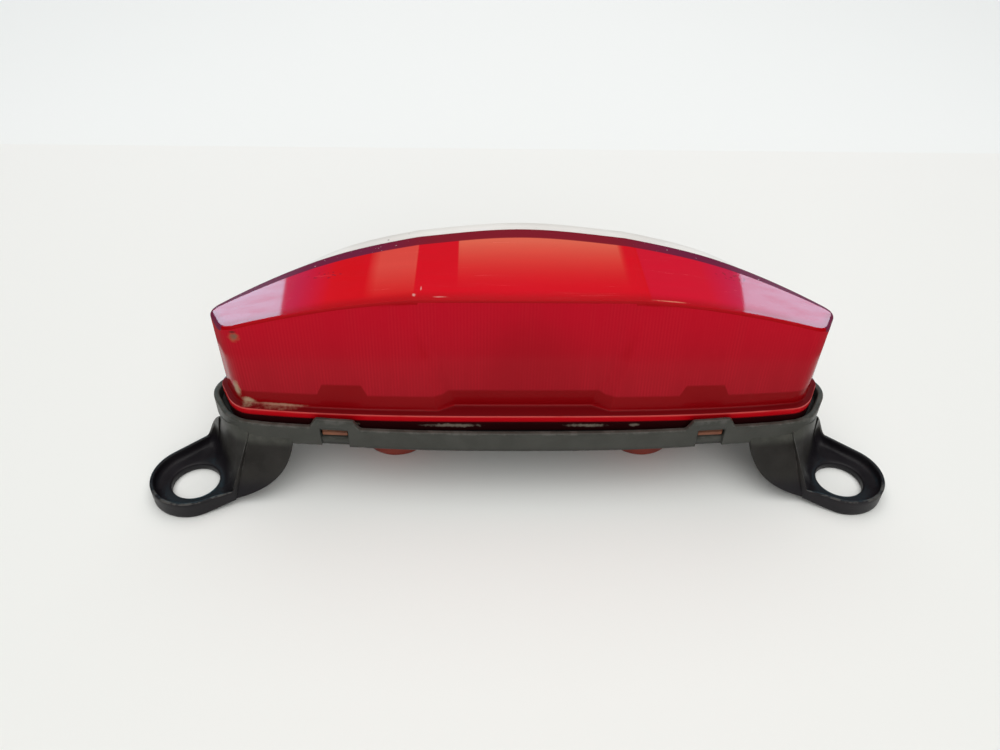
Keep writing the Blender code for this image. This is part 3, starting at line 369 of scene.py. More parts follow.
HOLE_X = 0.120
HOLE_Y = -0.02565
EAR_TURN = math.radians(31.0)
EAR_HOLE = 0.0085
EAR_RADIUS = 0.01533
EAR_FLOOR = 0.003
EAR_FLOOR_RING = 0.0012
EAR_LIP = 0.0065
EAR_LIP_WALL = 0.0013
EAR_EASE = 0.0004
HOLE_EASE = 0.0006
FRONT_FLARE = math.radians(5.0)
BACK_FLARE = math.radians(12.0)
FRONT_RUN = 0.0098
BACK_RUN = 0.0162
BACK_ROUND = 0.0045
FRONT_SWEEP = 0.0003
BACK_SWEEP = 0.0050
LEG_WALL = 0.0016
CREASE_WALL = 0.0005
CREASE_TAPER = 0.006
LEG_TOP_FRONT = 0.0276
LEG_TOP_BACK = 0.0226
LEG_HOLLOW = 0.45
LEG_HEAD_IN = 0.0014
CREASE_X = 0.0963
RIB_Y = -0.010
COVE_FRONT = 0.003
COVE_BACK = 0.0018
COVE_LEG = 0.006
COVE_RISE = 0.009
COVE_EASE = 0.009
LEG_LOW = 0.0022
LEG_LOW_RUN = 0.016
WEB_FLUSH = 0.0234
WEB_TOP = 0.0248
WEB_WALL = 0.003
WEB_OVERLAP = 0.0008
WEB_CORNER = np.array((0.0830, 0.0068))
WEB_END = np.array((0.0817, WEB_TOP - 0.0012))

far_turn = np.linspace(math.pi / 2 + FRONT_FLARE, 3 * math.pi / 2 - BACK_FLARE, 60)
front_corner = np.array((FRONT_RUN, EAR_RADIUS / math.cos(FRONT_FLARE) + FRONT_RUN * math.tan(FRONT_FLARE)))
back_corner = np.array((BACK_RUN, -EAR_RADIUS / math.cos(BACK_FLARE) - BACK_RUN * math.tan(BACK_FLARE)))
far_round = EAR_RADIUS * np.column_stack((np.cos(far_turn), np.sin(far_turn)))
from_back = np.stack((far_round[-1], front_corner)) - back_corner
from_back = back_corner + BACK_ROUND * unit(from_back)
back_bend = bend(from_back[0], back_corner, from_back[1])
tongue = denser(np.vstack((front_corner, far_round, back_bend, front_corner)), 0.0005)
tongue_run = run_of(tongue)
leg_start = tongue_run[np.argmin(np.linalg.norm(tongue - back_corner, axis=1))]
leg_share = 1 - np.maximum(tongue_run - leg_start, 0.0) / (tongue_run[-1] - leg_start)
leg_share = leg_share[:-1]
tongue, tongue_run = tongue[:-1], tongue_run[:-1]
on_leg = tongue_run >= leg_start
front_half = tongue_run < leg_start / 2
leg_share[front_half] = 0.0
inside = np.roll(tongue, -1, axis=0) - np.roll(tongue, 1, axis=0)
inside = unit(np.column_stack((-inside[:, 1], inside[:, 0])))
climb = np.where(front_half, held(1 - tongue_run / FRONT_SWEEP),
                 held(1 - (leg_start - tongue_run) / BACK_SWEEP) ** 2)
climb[on_leg] = 1.0
leg_top = LEG_TOP_FRONT + (LEG_TOP_BACK - LEG_TOP_FRONT) * leg_share ** 2
lip_top = EAR_LIP + (leg_top - EAR_LIP) * climb
from_crease = np.where(front_half, tongue_run, tongue_run[-1] - tongue_run)
lip_wall = EAR_LIP_WALL + (LEG_WALL - EAR_LIP_WALL) * climb
lip_wall = CREASE_WALL + (lip_wall - CREASE_WALL) * held(from_crease / CREASE_TAPER)
ease = np.minimum(EAR_EASE, lip_wall / 3)
hollow = 1 - LEG_HOLLOW * np.sqrt(4 * leg_share * (1 - leg_share))
lip_room = np.linalg.norm(tongue + inside * lip_wall[:, None], axis=1) - EAR_HOLE - EAR_FLOOR_RING
from_leg = np.where(on_leg, 0.0, np.where(front_half, tongue_run, leg_start - tongue_run))
leg_near = held(1 - from_leg / COVE_EASE) ** 2
lip_cove = np.where(front_half, COVE_FRONT, COVE_BACK)
cove = np.minimum(lip_cove + (COVE_LEG - lip_cove) * leg_near, lip_room).clip(0.0004)
cove_rise = np.minimum(cove + (COVE_RISE - cove) * leg_near, lip_top - ease - EAR_FLOOR - 0.0002)
under = LEG_LOW * held(1 - from_crease / LEG_LOW_RUN) ** 1.5
hole_edge = unit(tongue)
to_hole = unit(hole_edge * (EAR_HOLE + HOLE_EASE) - tongue - inside * lip_wall[:, None])
rim_run = outline(0.0, RIM_OUT - LEG_HEAD_IN - RIM_END_IN * end_share, tray_shares)[:len(tray_shares)]
rim_length = run_of(rim_run)
head_start = np.interp(CREASE_X, rim_run[:, 0], rim_length)
head_end = np.interp(RIB_Y, rim_run[:, 1], rim_length)
head_at = head_start + (head_end - head_start) * leg_share
leg_head = np.column_stack([np.interp(head_at, rim_length, column) for column in rim_run.T])


def looped(grid):
    """Grid whose last row meets its first."""
    return np.concatenate((grid, grid[:1]))


def leg_pieces(side, sign):
    """Ear, leg and web on one side.

    Rings round the hole run up the hole's wall, out over the floor, up the lip and down outside it.
    Where the lip meets the leg it climbs to the rim, and leans in from the ear's edge to the rim's end
    by a power of its height that hollows the leg between its front crease and its back rib.
    """
    hole = np.array((sign * HOLE_X, HOLE_Y))
    inward = np.array((-sign * math.cos(EAR_TURN), math.sin(EAR_TURN)))
    across = np.array((-sign * math.sin(EAR_TURN), -math.cos(EAR_TURN)))

    def placed(plan):
        """Plan points round the ear's hole, turned with the ear and moved to its place."""
        return hole + plan[..., :1] * inward + plan[..., 1:] * across

    foot_edge = back_corner + (front_corner - back_corner) * (1 - leg_share[:, None])
    lean = leg_head * (sign, 1.0) - placed(foot_edge)

    def ring(inset, height, floor_reach=0.0):
        """Ring of the lip: the tongue's edge, drawn in, then moved to the hole, and leaned by its height."""
        height = np.broadcast_to(height, len(tongue))
        up = held((height - EAR_FLOOR) / (leg_top - EAR_FLOOR)) ** hollow
        plan = tongue + inside * np.broadcast_to(inset, len(tongue))[:, None]
        plan = plan + to_hole * np.broadcast_to(floor_reach, len(tongue))[:, None]
        return raised(placed(plan) + lean * (climb * up)[:, None], height)

    def hole_ring(radius, height):
        """Ring round the hole at a radius and a height."""
        return raised(placed(hole_edge * radius), height)

    floor_rim = ring(lip_wall, EAR_FLOOR, cove)
    eye = hole_ring(EAR_HOLE + HOLE_EASE, EAR_FLOOR)
    rows = [hole_ring(EAR_HOLE + grow, z) for grow, z in (
        (0.0003, 0.0), (0.0, 0.0004), (0.0, EAR_FLOOR - HOLE_EASE), (0.0002, EAR_FLOOR - 0.0002))]
    rows += [eye + (floor_rim - eye) * share for share in (0.0, 0.2, 0.5, 0.8)]
    rows += [ring(lip_wall, EAR_FLOOR + cove_rise * (1 - math.cos(a)), cove * (1 - math.sin(a)))
             for a in np.linspace(0.0, math.pi / 2, 8)]
    cove_top = EAR_FLOOR + cove_rise
    rows += [ring(lip_wall, cove_top + (lip_top - ease - cove_top) * share)
             for share in (0.25, 0.5, 0.75, 1.0)]
    rows += [ring(lip_wall - ease * 0.3, lip_top - ease * 0.3), ring(lip_wall - ease, lip_top),
             ring(ease, lip_top), ring(ease * 0.3, lip_top - ease * 0.3)]
    rows += [ring(0.0, lip_top - ease - (lip_top - 2 * ease - under) * share)
             for share in (0.0, 0.2, 0.4, 0.6, 0.8, 1.0)]
    rows += [ring(ease * 0.3, under + ease * 0.3), ring(ease, under)]
    points = np.stack(rows)
    marks = np.zeros(points.shape[:2])
    eye_rows, lip_rows = slice(3, 5), slice(19, 24)
    marks[eye_rows] = 0.3
    marks[lip_rows] = np.where(front_half, 1.0, 0.35)

    foot = placed(front_corner)
    foot_line = bend(np.array((abs(foot[0]) + WEB_OVERLAP, LEG_LOW)), WEB_CORNER, WEB_END, 30)
    foot_x, foot_z = foot_line.T
    head_x = np.linspace(CREASE_X + WEB_OVERLAP, WEB_END[0], 30)
    face_run = outline(0.0, RIM_OUT - RIM_END_IN * end_share, tray_shares)[:len(tray_shares)]

    def web_point(x, z, depth):
        """Point of the web's face: a straight lean from the leg's foot back to the rim's face."""
        lean_share = held((z - LEG_LOW) / (WEB_FLUSH - LEG_LOW))
        rim_y = np.interp(x, face_run[:, 0], face_run[:, 1]) + 0.0001
        return np.column_stack((sign * x, foot[1] * (1 - lean_share) + rim_y * lean_share + depth, z))

    head_z = np.full(len(foot_x), WEB_TOP)
    corners = np.stack((web_point(foot_x, foot_z, 0.0), web_point(foot_x, foot_z, WEB_WALL),
                        web_point(head_x, head_z, WEB_WALL), web_point(head_x, head_z, 0.0)), axis=1)
    reach = 0.35 * np.linalg.norm(corners[:, 0] - corners[:, 3], axis=1).clip(0.0, 0.002)
    web = rounded(corners, reach[:, None], closed=True)
    web_marks = np.zeros((len(web) + 2, 1))
    web_marks[:2] = 1.0
    return skin(f"housing_leg_{side}", looped(points), capped(web), wear=(looped(marks), web_marks))


legs = [leg_pieces("left", -1.0), leg_pieces("right", 1.0)]


class Paint:
    """Node tree of a material or a node group, wired by calls that give back sockets."""

    def __init__(self, tree):
        self.tree = tree

    def feed(self, node, inputs):
        """Sets each input of a node to a value, or joins a socket to it."""
        for key, value in inputs.items():
            if isinstance(value, bpy.types.NodeSocket):
                self.tree.links.new(value, node.inputs[key])
            else:
                node.inputs[key].default_value = value

    def add(self, kind, inputs, **settings):
        """New node of a kind with its settings and inputs; gives its outputs."""
        node = self.tree.nodes.new("ShaderNode" + kind)
        for key, value in settings.items():
            setattr(node, key, value)
        self.feed(node, inputs)
        return node.outputs

    def place(self, group, **inputs):
        """A node group placed with its own values; gives its outputs."""
        return self.add("Group", inputs, node_tree=group.tree)

    def spot(self):
        """Place on the object, in its own frame."""
        return self.add("TexCoord", {})["Object"]

    def parts(self, vector):
        """The X, Y and Z of a vector."""
        return self.add("SeparateXYZ", {0: vector})

    def mark(self, name):
        """Mark that the mesh carries."""
        return self.add("Attribute", {}, attribute_name=name)["Fac"]

    def noise(self, scale, detail, rough=0.5, at=None):
        """Noise at a place, which is the place on the object if none is given."""
        at = self.spot() if at is None else at
        return self.add("TexNoise", {"Vector": at, "Scale": scale, "Detail": detail, "Roughness": rough})[0]

    def calc(self, operation, first, second=0.0):
        """Two values or sockets joined by a math operation."""
        return self.add("Math", {0: first, 1: second}, operation=operation)[0]

    def times(self, first, second):
        """Product of two values or sockets."""
        return self.calc("MULTIPLY", first, second)

    def scaled(self, value, share, base):
        """A value times a share, plus a base."""
        return self.calc("ADD", self.times(value, share), base)

    def rest(self, value):
        """What a value leaves of 1."""
        return self.calc("SUBTRACT", 1.0, value)

    def ramp(self, value, low, high):
        """Smooth step of a value from 0 at low to 1 at high."""
        ends = {0: value, 1: low, 2: high, 3: 0.0, 4: 1.0}
        return self.add("MapRange", ends, interpolation_type="SMOOTHSTEP")[0]

    def mix(self, mask, first, second):
        """Colour that goes from the first to the second as the mask goes from 0 to 1."""
        first, second = ((*shade, 1.0) if isinstance(shade, tuple) else shade for shade in (first, second))
        return self.add("Mix", {0: mask, 6: first, 7: second}, data_type="RGBA")[2]

    def bump(self, height, depth):
        """Normal bumped by a height, to a depth in metres."""
        return self.add("Bump", {"Height": height, "Distance": depth, "Strength": 1.0})[0]

    def shade(self, colour, roughness, **inputs):
        """Sets the Principled shader; the name of an input has _ for each space."""
        inputs = {key.replace("_", " "): value for key, value in inputs.items()}
        inputs.update({"Base Color": colour, "Roughness": roughness})
        self.feed(self.tree.nodes["Principled BSDF"], inputs)


def effect(name, inputs, *outputs):
    """Empty node group with named inputs and float outputs: its paint, its inputs and its output node."""
    tree = bpy.data.node_groups.new(name, "ShaderNodeTree")
    for key, value in inputs.items():
        kind = "NodeSocketFloat" if isinstance(value, float) else "NodeSocketVector"
        tree.interface.new_socket(key, in_out="INPUT", socket_type=kind).default_value = value
    for key in outputs:
        tree.interface.new_socket(key, in_out="OUTPUT", socket_type="NodeSocketFloat")
    return Paint(tree), tree.nodes.new("NodeGroupInput").outputs, tree.nodes.new("NodeGroupOutput")


grain, given, result = effect("moulded_grain", {"Scale": 900.0}, "Height", "Mottle")
broad = grain.noise(grain.times(given["Scale"], 0.07), 4.0, 0.55)
grain.feed(result, {"Height": grain.noise(given["Scale"], 3.0, 0.6), "Mottle": grain.ramp(broad, 0.3, 0.7)})

rubbed, given, result = effect("rubbed_edges", {"Reach": 0.5, "Scale": 420.0}, "Mask")
patchy = rubbed.ramp(rubbed.noise(given["Scale"], 5.0, 0.65), 0.38, 0.62)
worn = rubbed.times(rubbed.mark("wear"), patchy)
rubbed.feed(result, {"Mask": rubbed.ramp(worn, rubbed.rest(given["Reach"]), 1.0)})

dust, given, result = effect("settled_dust", {"Amount": 0.4, "Scale": 160.0}, "Mask")
upward = dust.parts(dust.add("TexCoord", {})["Normal"])["Z"]
clumps = dust.ramp(dust.noise(given["Scale"], 6.0, 0.62), 0.35, 0.75)
lying = dust.times(dust.ramp(upward, -0.15, 0.9), clumps)
dust.feed(result, {"Mask": dust.times(lying, given["Amount"])})


def finish(name):
    """New material and the paint of its node tree."""
    material = bpy.data.materials.new(name)
    material.use_nodes = True
    return material, Paint(material.node_tree)


def moulding(name, scale, dark, pale, rough, spread=0.0, bump=0.0, dusty=None, **inputs):
    """Moulded material: colour and roughness follow the mottle of a grain, which is also its bump.

    Dust, if given as an amount, a scale and a colour, lies on what faces up.
    """
    material, paint = finish(name)
    moulded = paint.place(grain, Scale=scale)
    colour = paint.mix(moulded["Mottle"], dark, pale)
    if dusty:
        amount, clump_scale, pale_dust = dusty
        colour = paint.mix(paint.place(dust, Amount=amount, Scale=clump_scale)["Mask"], colour, pale_dust)
    if bump:
        inputs["Normal"] = paint.bump(moulded["Height"], bump)
    paint.shade(colour, paint.scaled(moulded["Mottle"], spread, rough) if spread else rough, **inputs)
    return material


def dress(piece, material, slot, body, *nodes):
    """Gives a new piece its material and the body it rides on, and hides the nodes it stands for; the slot is
    not used.
    """
    piece.data.materials.clear()
    piece.data.materials.append(material)
    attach(piece, body)
    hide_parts(*nodes)


black_plastic, paint = finish("black_moulded_plastic")
moulded = paint.place(grain, Scale=1500.0)
edge_wear = paint.place(rubbed, Reach=0.8, Scale=260.0)["Mask"]
grime = paint.place(dust, Amount=0.3, Scale=260.0)["Mask"]
height = paint.parts(paint.spot())["Z"]
above_ears, at_rim = paint.ramp(height, 0.0055, 0.011), paint.ramp(height, 0.0205, 0.0235)
# Painted shade: the colour darkens by height, from the rim down through the legs to the darkest ears
tones_shaded_by_height = [paint.mix(at_rim, paint.mix(above_ears, ear, leg), rim) for ear, leg, rim in (
    ((0.0065, 0.0055, 0.0075), (0.016, 0.0145, 0.013), (0.040, 0.041, 0.035)),
    ((0.011, 0.0095, 0.012), (0.024, 0.022, 0.02), (0.054, 0.055, 0.048)))]
colour = paint.mix(moulded["Mottle"], *tones_shaded_by_height)
colour = paint.mix(paint.times(grime, at_rim), colour, (0.16, 0.155, 0.135))
colour = paint.mix(paint.times(edge_wear, 0.6), colour, (0.10, 0.097, 0.09))
rough = paint.calc("ADD", paint.scaled(moulded["Mottle"], 0.12, 0.36), paint.times(grime, 0.3))
paint.shade(colour, rough, Specular_IOR_Level=0.25, Normal=paint.bump(moulded["Height"], 0.00005))

for piece in (tray, posts, *legs):
    dress(piece, black_plastic, "housing", "lamp", "housing")

# Seals of the bulb holders, moulded in red silicone: a flat ring round each barrel, squeezed between
# the holder's flange and the underside of the tray.

SEAL_RING_IN = 0.0133
SEAL_RING_OUT = 0.0190
SEAL_RING_FOOT = 0.0209
SEAL_RING_TOP = 0.0223
SEAL_RING_EASE = 0.0004


def eased_box(inner, outer, low, high, ease, steps=3):
    """Closed profile of a box between two reaches and two heights, with eased corners."""
    corners = np.array(((inner, low), (outer, low), (outer, high), (inner, high)))
    return rounded(corners, ease, steps, closed=True)


red_silicone = moulding("red_silicone", 2200.0, (0.30, 0.035, 0.022), (0.40, 0.06, 0.035), 0.7, bump=0.00008)
ring_profile = eased_box(SEAL_RING_IN, SEAL_RING_OUT, SEAL_RING_FOOT, SEAL_RING_TOP, SEAL_RING_EASE)
for side, axis in sides:
    ring = skin(f"holder_ring_{side}", looped(turned(ring_profile.T, axis, 96)))
    dress(ring, red_silicone, "holder_seal", f"{side}_holder", f"holder_seal_{side}")

# Bulb holders, moulded in red-brown phenolic: a barrel that passes through the tray, a scalloped
# flange to twist it by, three lugs that lock over the tray's floor, and a pocket for the plug.

BARREL = 0.013
HOLDER_BORE = 0.0078
HOLDER_MOUTH = 0.0305
FLANGE_TOP = 0.0206
FLANGE_UNDER = 0.0176
FLANGE_RADIUS = 0.0195
FLANGE_SCALLOPS = 15
FLANGE_SCALLOP = 0.0007
PARTITION_UNDER = 0.004
PARTITION_TOP = 0.006
PLUG_POCKET = 0.011
LUG_HALF = 0.004
LUG_REACH = 0.0165
LUG_FOOT = 0.0254
LUG_TOP = 0.0279
LUG_EASE = 0.0003
LUG_ROOT = 0.001
HOLDER_EASE = 0.0004
HOLDER_STEP = 0.002
HOLDER_STEPS = 180

phenolic = moulding("red_brown_phenolic", 1300.0, (0.20, 0.028, 0.018), (0.30, 0.05, 0.032), 0.4, 0.1,
                    0.00005, dusty=(0.3, 210.0, (0.25, 0.19, 0.15)))
holder_profile = denser(rounded(np.array((
    (0.0, PARTITION_TOP), (HOLDER_BORE, PARTITION_TOP), (HOLDER_BORE, HOLDER_MOUTH), (BARREL, HOLDER_MOUTH),
    (BARREL, FLANGE_TOP), (FLANGE_RADIUS, FLANGE_TOP), (FLANGE_RADIUS, FLANGE_UNDER), (BARREL, FLANGE_UNDER),
    (BARREL, 0.0), (PLUG_POCKET, 0.0), (PLUG_POCKET, PARTITION_UNDER), (0.0, PARTITION_UNDER))),
    HOLDER_EASE), HOLDER_STEP)
holder_turn = full_turn(HOLDER_STEPS)
scallop = FLANGE_SCALLOP * (0.5 - 0.5 * np.cos(FLANGE_SCALLOPS * holder_turn)) ** 2
flange_foot = BARREL + HOLDER_STEP
on_flange = held((holder_profile[:, 0] - flange_foot) / (FLANGE_RADIUS - flange_foot))
holder_radius = holder_profile[:, :1] - on_flange[:, None] * scallop
for side, axis in sides:
    pieces = [turned((holder_radius, holder_profile[:, 1]), axis, HOLDER_STEPS)]
    for turn in full_turn(3):
        out = np.array((math.cos(turn), math.sin(turn)))
        along = np.array((-out[1], out[0]))
        pieces.append(eased_block(axis, along, out, LUG_HALF, BARREL - LUG_ROOT, LUG_REACH, LUG_FOOT, LUG_TOP,
                                  LUG_EASE))
    dress(skin(f"holder_body_{side}", *pieces), phenolic, "holder", f"{side}_holder", f"holder_{side}")

# Terminals, stamped from brass strip and tinned: two live blades in the holder's partition and an
# earth blade that runs up beside the bulb's cap.

BLADE_HALF = 0.0004
BLADE_FOOT = 0.001
LIVE_SPACING = 0.0062
LIVE_HALF = 0.0024
LIVE_TOP = 0.0063
EARTH_HALF = 0.002
EARTH_Y = -0.0083
EARTH_TOP = 0.022
BLADE_EASE = 0.00025

scratches, given, result = effect("fine_scratches", {"Scale": 260.0}, "Mask")
slanted = {"Vector": scratches.spot(), "Rotation": (0.4, 0.2, 0.9), "Scale": (0.06, 1.0, 1.0)}
lines = scratches.noise(given["Scale"], 8.0, 0.75, scratches.add("Mapping", slanted)[0])
scratches.feed(result, {"Mask": scratches.ramp(lines, 0.55, 0.72)})


def metal(name, dull, bright, rough):
    """Scratched metal that is dull in blotches: colour and roughness follow a mottle and fine lines."""
    material, paint = finish(name)
    moulded = paint.place(grain, Scale=2400.0)
    lines = paint.times(paint.place(scratches, Scale=900.0)["Mask"], 0.2)
    rougher = paint.calc("ADD", lines, paint.times(moulded["Mottle"], 0.12))
    paint.shade(paint.mix(moulded["Mottle"], dull, bright), paint.calc("ADD", rougher, rough), Metallic=1.0,
                Normal=paint.bump(moulded["Height"], 0.00002))
    return material


tinned_brass = metal("tinned_brass", (0.60, 0.45, 0.21), (0.78, 0.62, 0.33), 0.22)
along_x, along_y = np.eye(2)
for side, axis in sides:
    for use, at, along, out, half, top in (
            ("tail", axis - along_x * LIVE_SPACING / 2, along_y, along_x, LIVE_HALF, LIVE_TOP),
            ("stop", axis + along_x * LIVE_SPACING / 2, along_y, along_x, LIVE_HALF, LIVE_TOP),
            ("earth", axis + along_y * EARTH_Y, along_x, along_y, EARTH_HALF, EARTH_TOP)):
        blade = eased_block(at, along, out, half, -BLADE_HALF, BLADE_HALF, BLADE_FOOT, top, BLADE_EASE)
        dress(skin(f"blade_{use}_{side}", blade), tinned_brass, "terminal", f"{side}_holder",
              f"terminal_{use}_{side}")

# Contact springs, plates and rivets: a steel coil pushes up a paper-laminate plate with two brass
# rivets, which press on the bulb's foot. The coil stands on the holder; plates and rivets keep their own
# shapes from the model.

SPRING_FOOT = 0.0063
SPRING_LENGTH = 0.0054
SPRING_RADIUS = 0.0052
SPRING_WIRE = 0.00035
SPRING_TURNS = 3.5


def repaint(material, start):
    """Gives the model's nodes whose names have this start a material in place of their plain one."""
    for name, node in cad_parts.items():
        if name.startswith(start):
            for slot in node.material_slots:
                slot.material = material


spring_steel = metal("spring_steel", (0.42, 0.42, 0.41), (0.66, 0.66, 0.65), 0.2)
turn = np.linspace(0.0, SPRING_TURNS * 2 * math.pi, 240)[:, None]
about = full_turn(12)
off_axis = SPRING_RADIUS + SPRING_WIRE * np.cos(about)
rise = SPRING_FOOT + SPRING_WIRE + (SPRING_LENGTH - 2 * SPRING_WIRE) * turn / turn[-1]
for side, axis in sides:
    coil = np.dstack((axis[0] + off_axis * np.cos(turn), axis[1] + off_axis * np.sin(turn),
                      rise + SPRING_WIRE * np.sin(about)))
    spring = skin(f"spring_coil_{side}", capped(coil))
    dress(spring, spring_steel, "spring", f"{side}_holder", f"contact_spring_{side}")
    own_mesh(spring)
repaint(tinned_brass, "contact_rivet_")
laminate = moulding("paper_laminate", 1700.0, (0.30, 0.17, 0.07), (0.45, 0.29, 0.13), 0.55, bump=0.00004)
repaint(laminate, "contact_plate")

# Bulbs: a blown glass globe on a nickelled brass cap with two side pins, a black glass insulator
# with two solder dots under it, and a glass stem that carries two tungsten filaments.

GLASS_RADIUS = 0.0125
GLASS_WALL = 0.0007
GLASS_CENTRE = 0.0555
GLASS_NECK = 0.0067
NECK_FOOT = 0.0275
SHOULDER = 0.0352
GLOBE_END = math.radians(112.0)


def globe_profile(shrink):
    """Profile of the globe: an arc from its tip past its middle, then a curve in to the straight neck."""
    angles = np.linspace(0.0, GLOBE_END, 40)
    radius = GLASS_RADIUS - shrink
    arc = np.column_stack((radius * np.sin(angles), GLASS_CENTRE + radius * np.cos(angles)))
    slope = np.array((math.cos(GLOBE_END), -math.sin(GLOBE_END)))
    neck = np.array((GLASS_NECK - shrink, SHOULDER))
    meeting = np.array((neck[0], arc[-1, 1] + slope[1] / slope[0] * (neck[0] - arc[-1, 0])))
    return np.vstack((arc, bend(arc[-1], meeting, neck, 14)[1:], ((neck[0], NECK_FOOT),)))


clear_glass = moulding("clear_glass", 260.0, (0.97, 0.97, 0.96), (0.93, 0.94, 0.93), 0.0, 0.05, IOR=1.5,
                       Transmission_Weight=1.0)
globe = np.vstack((globe_profile(0.0), globe_profile(GLASS_WALL)[::-1]))
for side, axis in sides:
    glass = skin(f"bulb_globe_{side}", turned(globe.T, axis, 72))
    dress(glass, clear_glass, "bulb_glass", f"{side}_bulb", f"bulb_glass_{side}")
repaint(clear_glass, "bulb_mount")
repaint(metal("nickelled_brass", (0.55, 0.52, 0.44), (0.75, 0.71, 0.60), 0.2), "bulb_cap")
repaint(metal("tungsten", (0.22, 0.22, 0.23), (0.40, 0.40, 0.41), 0.35), "filament_")
repaint(metal("solder", (0.42, 0.42, 0.43), (0.62, 0.62, 0.63), 0.3), "solder_dot_")
black_glass = moulding("black_glass", 700.0, (0.010, 0.010, 0.012), (0.022, 0.022, 0.026), 0.12, 0.2)
repaint(black_glass, "bulb_insulator")

# Seal of the lens, cut from black foam rubber: a flat strip that goes all the way round, laid in the
# tray's channel and squeezed by the lens's skirt.

SEAL_OUT = 0.0032
SEAL_IN = 0.0004
SEAL_FOOT = 0.0254
SEAL_TOP = 0.0268
SEAL_EASE = 0.0003

seal_profile = eased_box(SEAL_IN, SEAL_OUT, SEAL_FOOT, SEAL_TOP, SEAL_EASE)
seal_points = np.stack([raised(outline(0.0, grow, tray_shares), z) for grow, z in seal_profile])
lens_seal = skin("lens_seal_foam", looped(seal_points))
foam_rubber = moulding("foam_rubber", 2600.0, (0.012, 0.012, 0.012), (0.03, 0.029, 0.028), 0.85, bump=0.0002)
dress(lens_seal, foam_rubber, "seal", "lamp", "lens_seal")

# Lens, moulded in clear red acrylic: a skirt, a ledge, a wall with a set-back middle panel and a
# crowned top face. Fine upright flutes inside the front wall spread the light.

LENS_WALL = 0.0024
LENS_FOOT = 0.034
LENS_TOP = 0.0758
LEDGE = 0.0029
LEDGE_END = 0.0009
LEDGE_END_X = 0.098
LEDGE_END_RUN = 0.008
LEDGE_FILLET = 0.0003
SKIRT_IN = 0.0007
SKIRT_FOOT = 0.0271
PANEL_RECESS = 0.003
PANEL_FOOT_HALF = 0.0243
PANEL_TOP_HALF = 0.038
PANEL_RAMP = 0.0060
WING_SLOPE = 0.085
WING_CURVE = 1.1
BACK_CROWN = 0.0011
BACK_CROWN_HALF = 0.076
TOP_EDGE = 0.001
FRONT_ROLL = 0.0004
FRONT_ROLL_REACH = 0.0045
FRONT_ROLL_HALF = 0.06
FLUTE_PITCH = 0.0011
FLUTE_DEPTH = 0.00022
CREST_MIDDLE = 0.0070
CREST_WING = 0.0056
CREST_TIP = 0.0019
CREST_END = 0.0012
CREST_END_X = 0.1005

lens_shares = stations(0.875, 340, 0.125, 52)
lens_count = 4 * (len(lens_shares) - 1)
front_side = np.zeros(lens_count, dtype=bool)
front_side[:len(lens_shares)] = True
front_side[-len(lens_shares) + 1:] = True
foot_ring = outline(0.0, 0.0, lens_shares)
foot_x = np.abs(foot_ring[:, 0])
flow = run_of(foot_ring)
flutes = FLUTE_DEPTH * (0.5 - 0.5 * np.cos(flow * 2 * math.pi / FLUTE_PITCH)) * front_side
ledge = LEDGE - LEDGE_END * held((foot_x - LEDGE_END_X) / LEDGE_END_RUN)


def top_height(x, back):
    """Height of the top face: level in the middle, with wings that fall in a parabola to the tips.

    Towards the back, where the share is 1, the middle is crowned too, by a squared sine of x.
    """
    out = np.maximum(np.abs(x) - PANEL_TOP_HALF, 0.0)
    crown = np.sin(math.pi * np.minimum(np.abs(x) / BACK_CROWN_HALF, 1.0)) ** 2
    return LENS_TOP - WING_SLOPE * out - WING_CURVE * out ** 2 - BACK_CROWN * crown * back


def wall_rings(inset, levels, head_drop, foot_height):
    """Rings of the wall: straight lines from the foot ring to the head ring.

    The middle panel of the front is set back at the foot, by less and less towards the head, and
    its edges are ramps that run outwards as they rise.
    """
    foot, head = outline(0.0, -inset, lens_shares), outline(1.0, -inset, lens_shares)
    level = np.asarray(levels)[:, None]
    plan = foot + (head - foot) * level[..., None]
    height = foot_height + (top_height(head[:, 0], ~front_side) - head_drop - foot_height) * level
    panel = PANEL_FOOT_HALF + (PANEL_TOP_HALF - PANEL_FOOT_HALF) * level
    ramp = PANEL_RAMP * (1 - 0.5 * level)
    set_back = 1 - held((np.abs(plan[..., 0]) - panel) / ramp)
    plan[..., 1] += PANEL_RECESS * (1 - level) * set_back * front_side
    return np.dstack((plan, height))


def top_rings(inset, drop, shares):
    """Rings of the top face, drawn in on its mid line, with the front edge rolled down a little."""
    edge = outline(1.0, -inset, lens_shares)
    plan = drawn_in(edge, shares)
    back = 0.5 + np.where(front_side, -0.5, 0.5) * np.asarray(shares)[:, None]
    height = top_height(plan[..., 0], back) - drop
    from_front = np.where(front_side, np.linalg.norm(plan - edge, axis=2), FRONT_ROLL_REACH)
    middle = held(1 - (plan[..., 0] / FRONT_ROLL_HALF) ** 2)
    roll = FRONT_ROLL * middle * held(1 - from_front / FRONT_ROLL_REACH) ** 2
    return np.dstack((plan, height - roll))


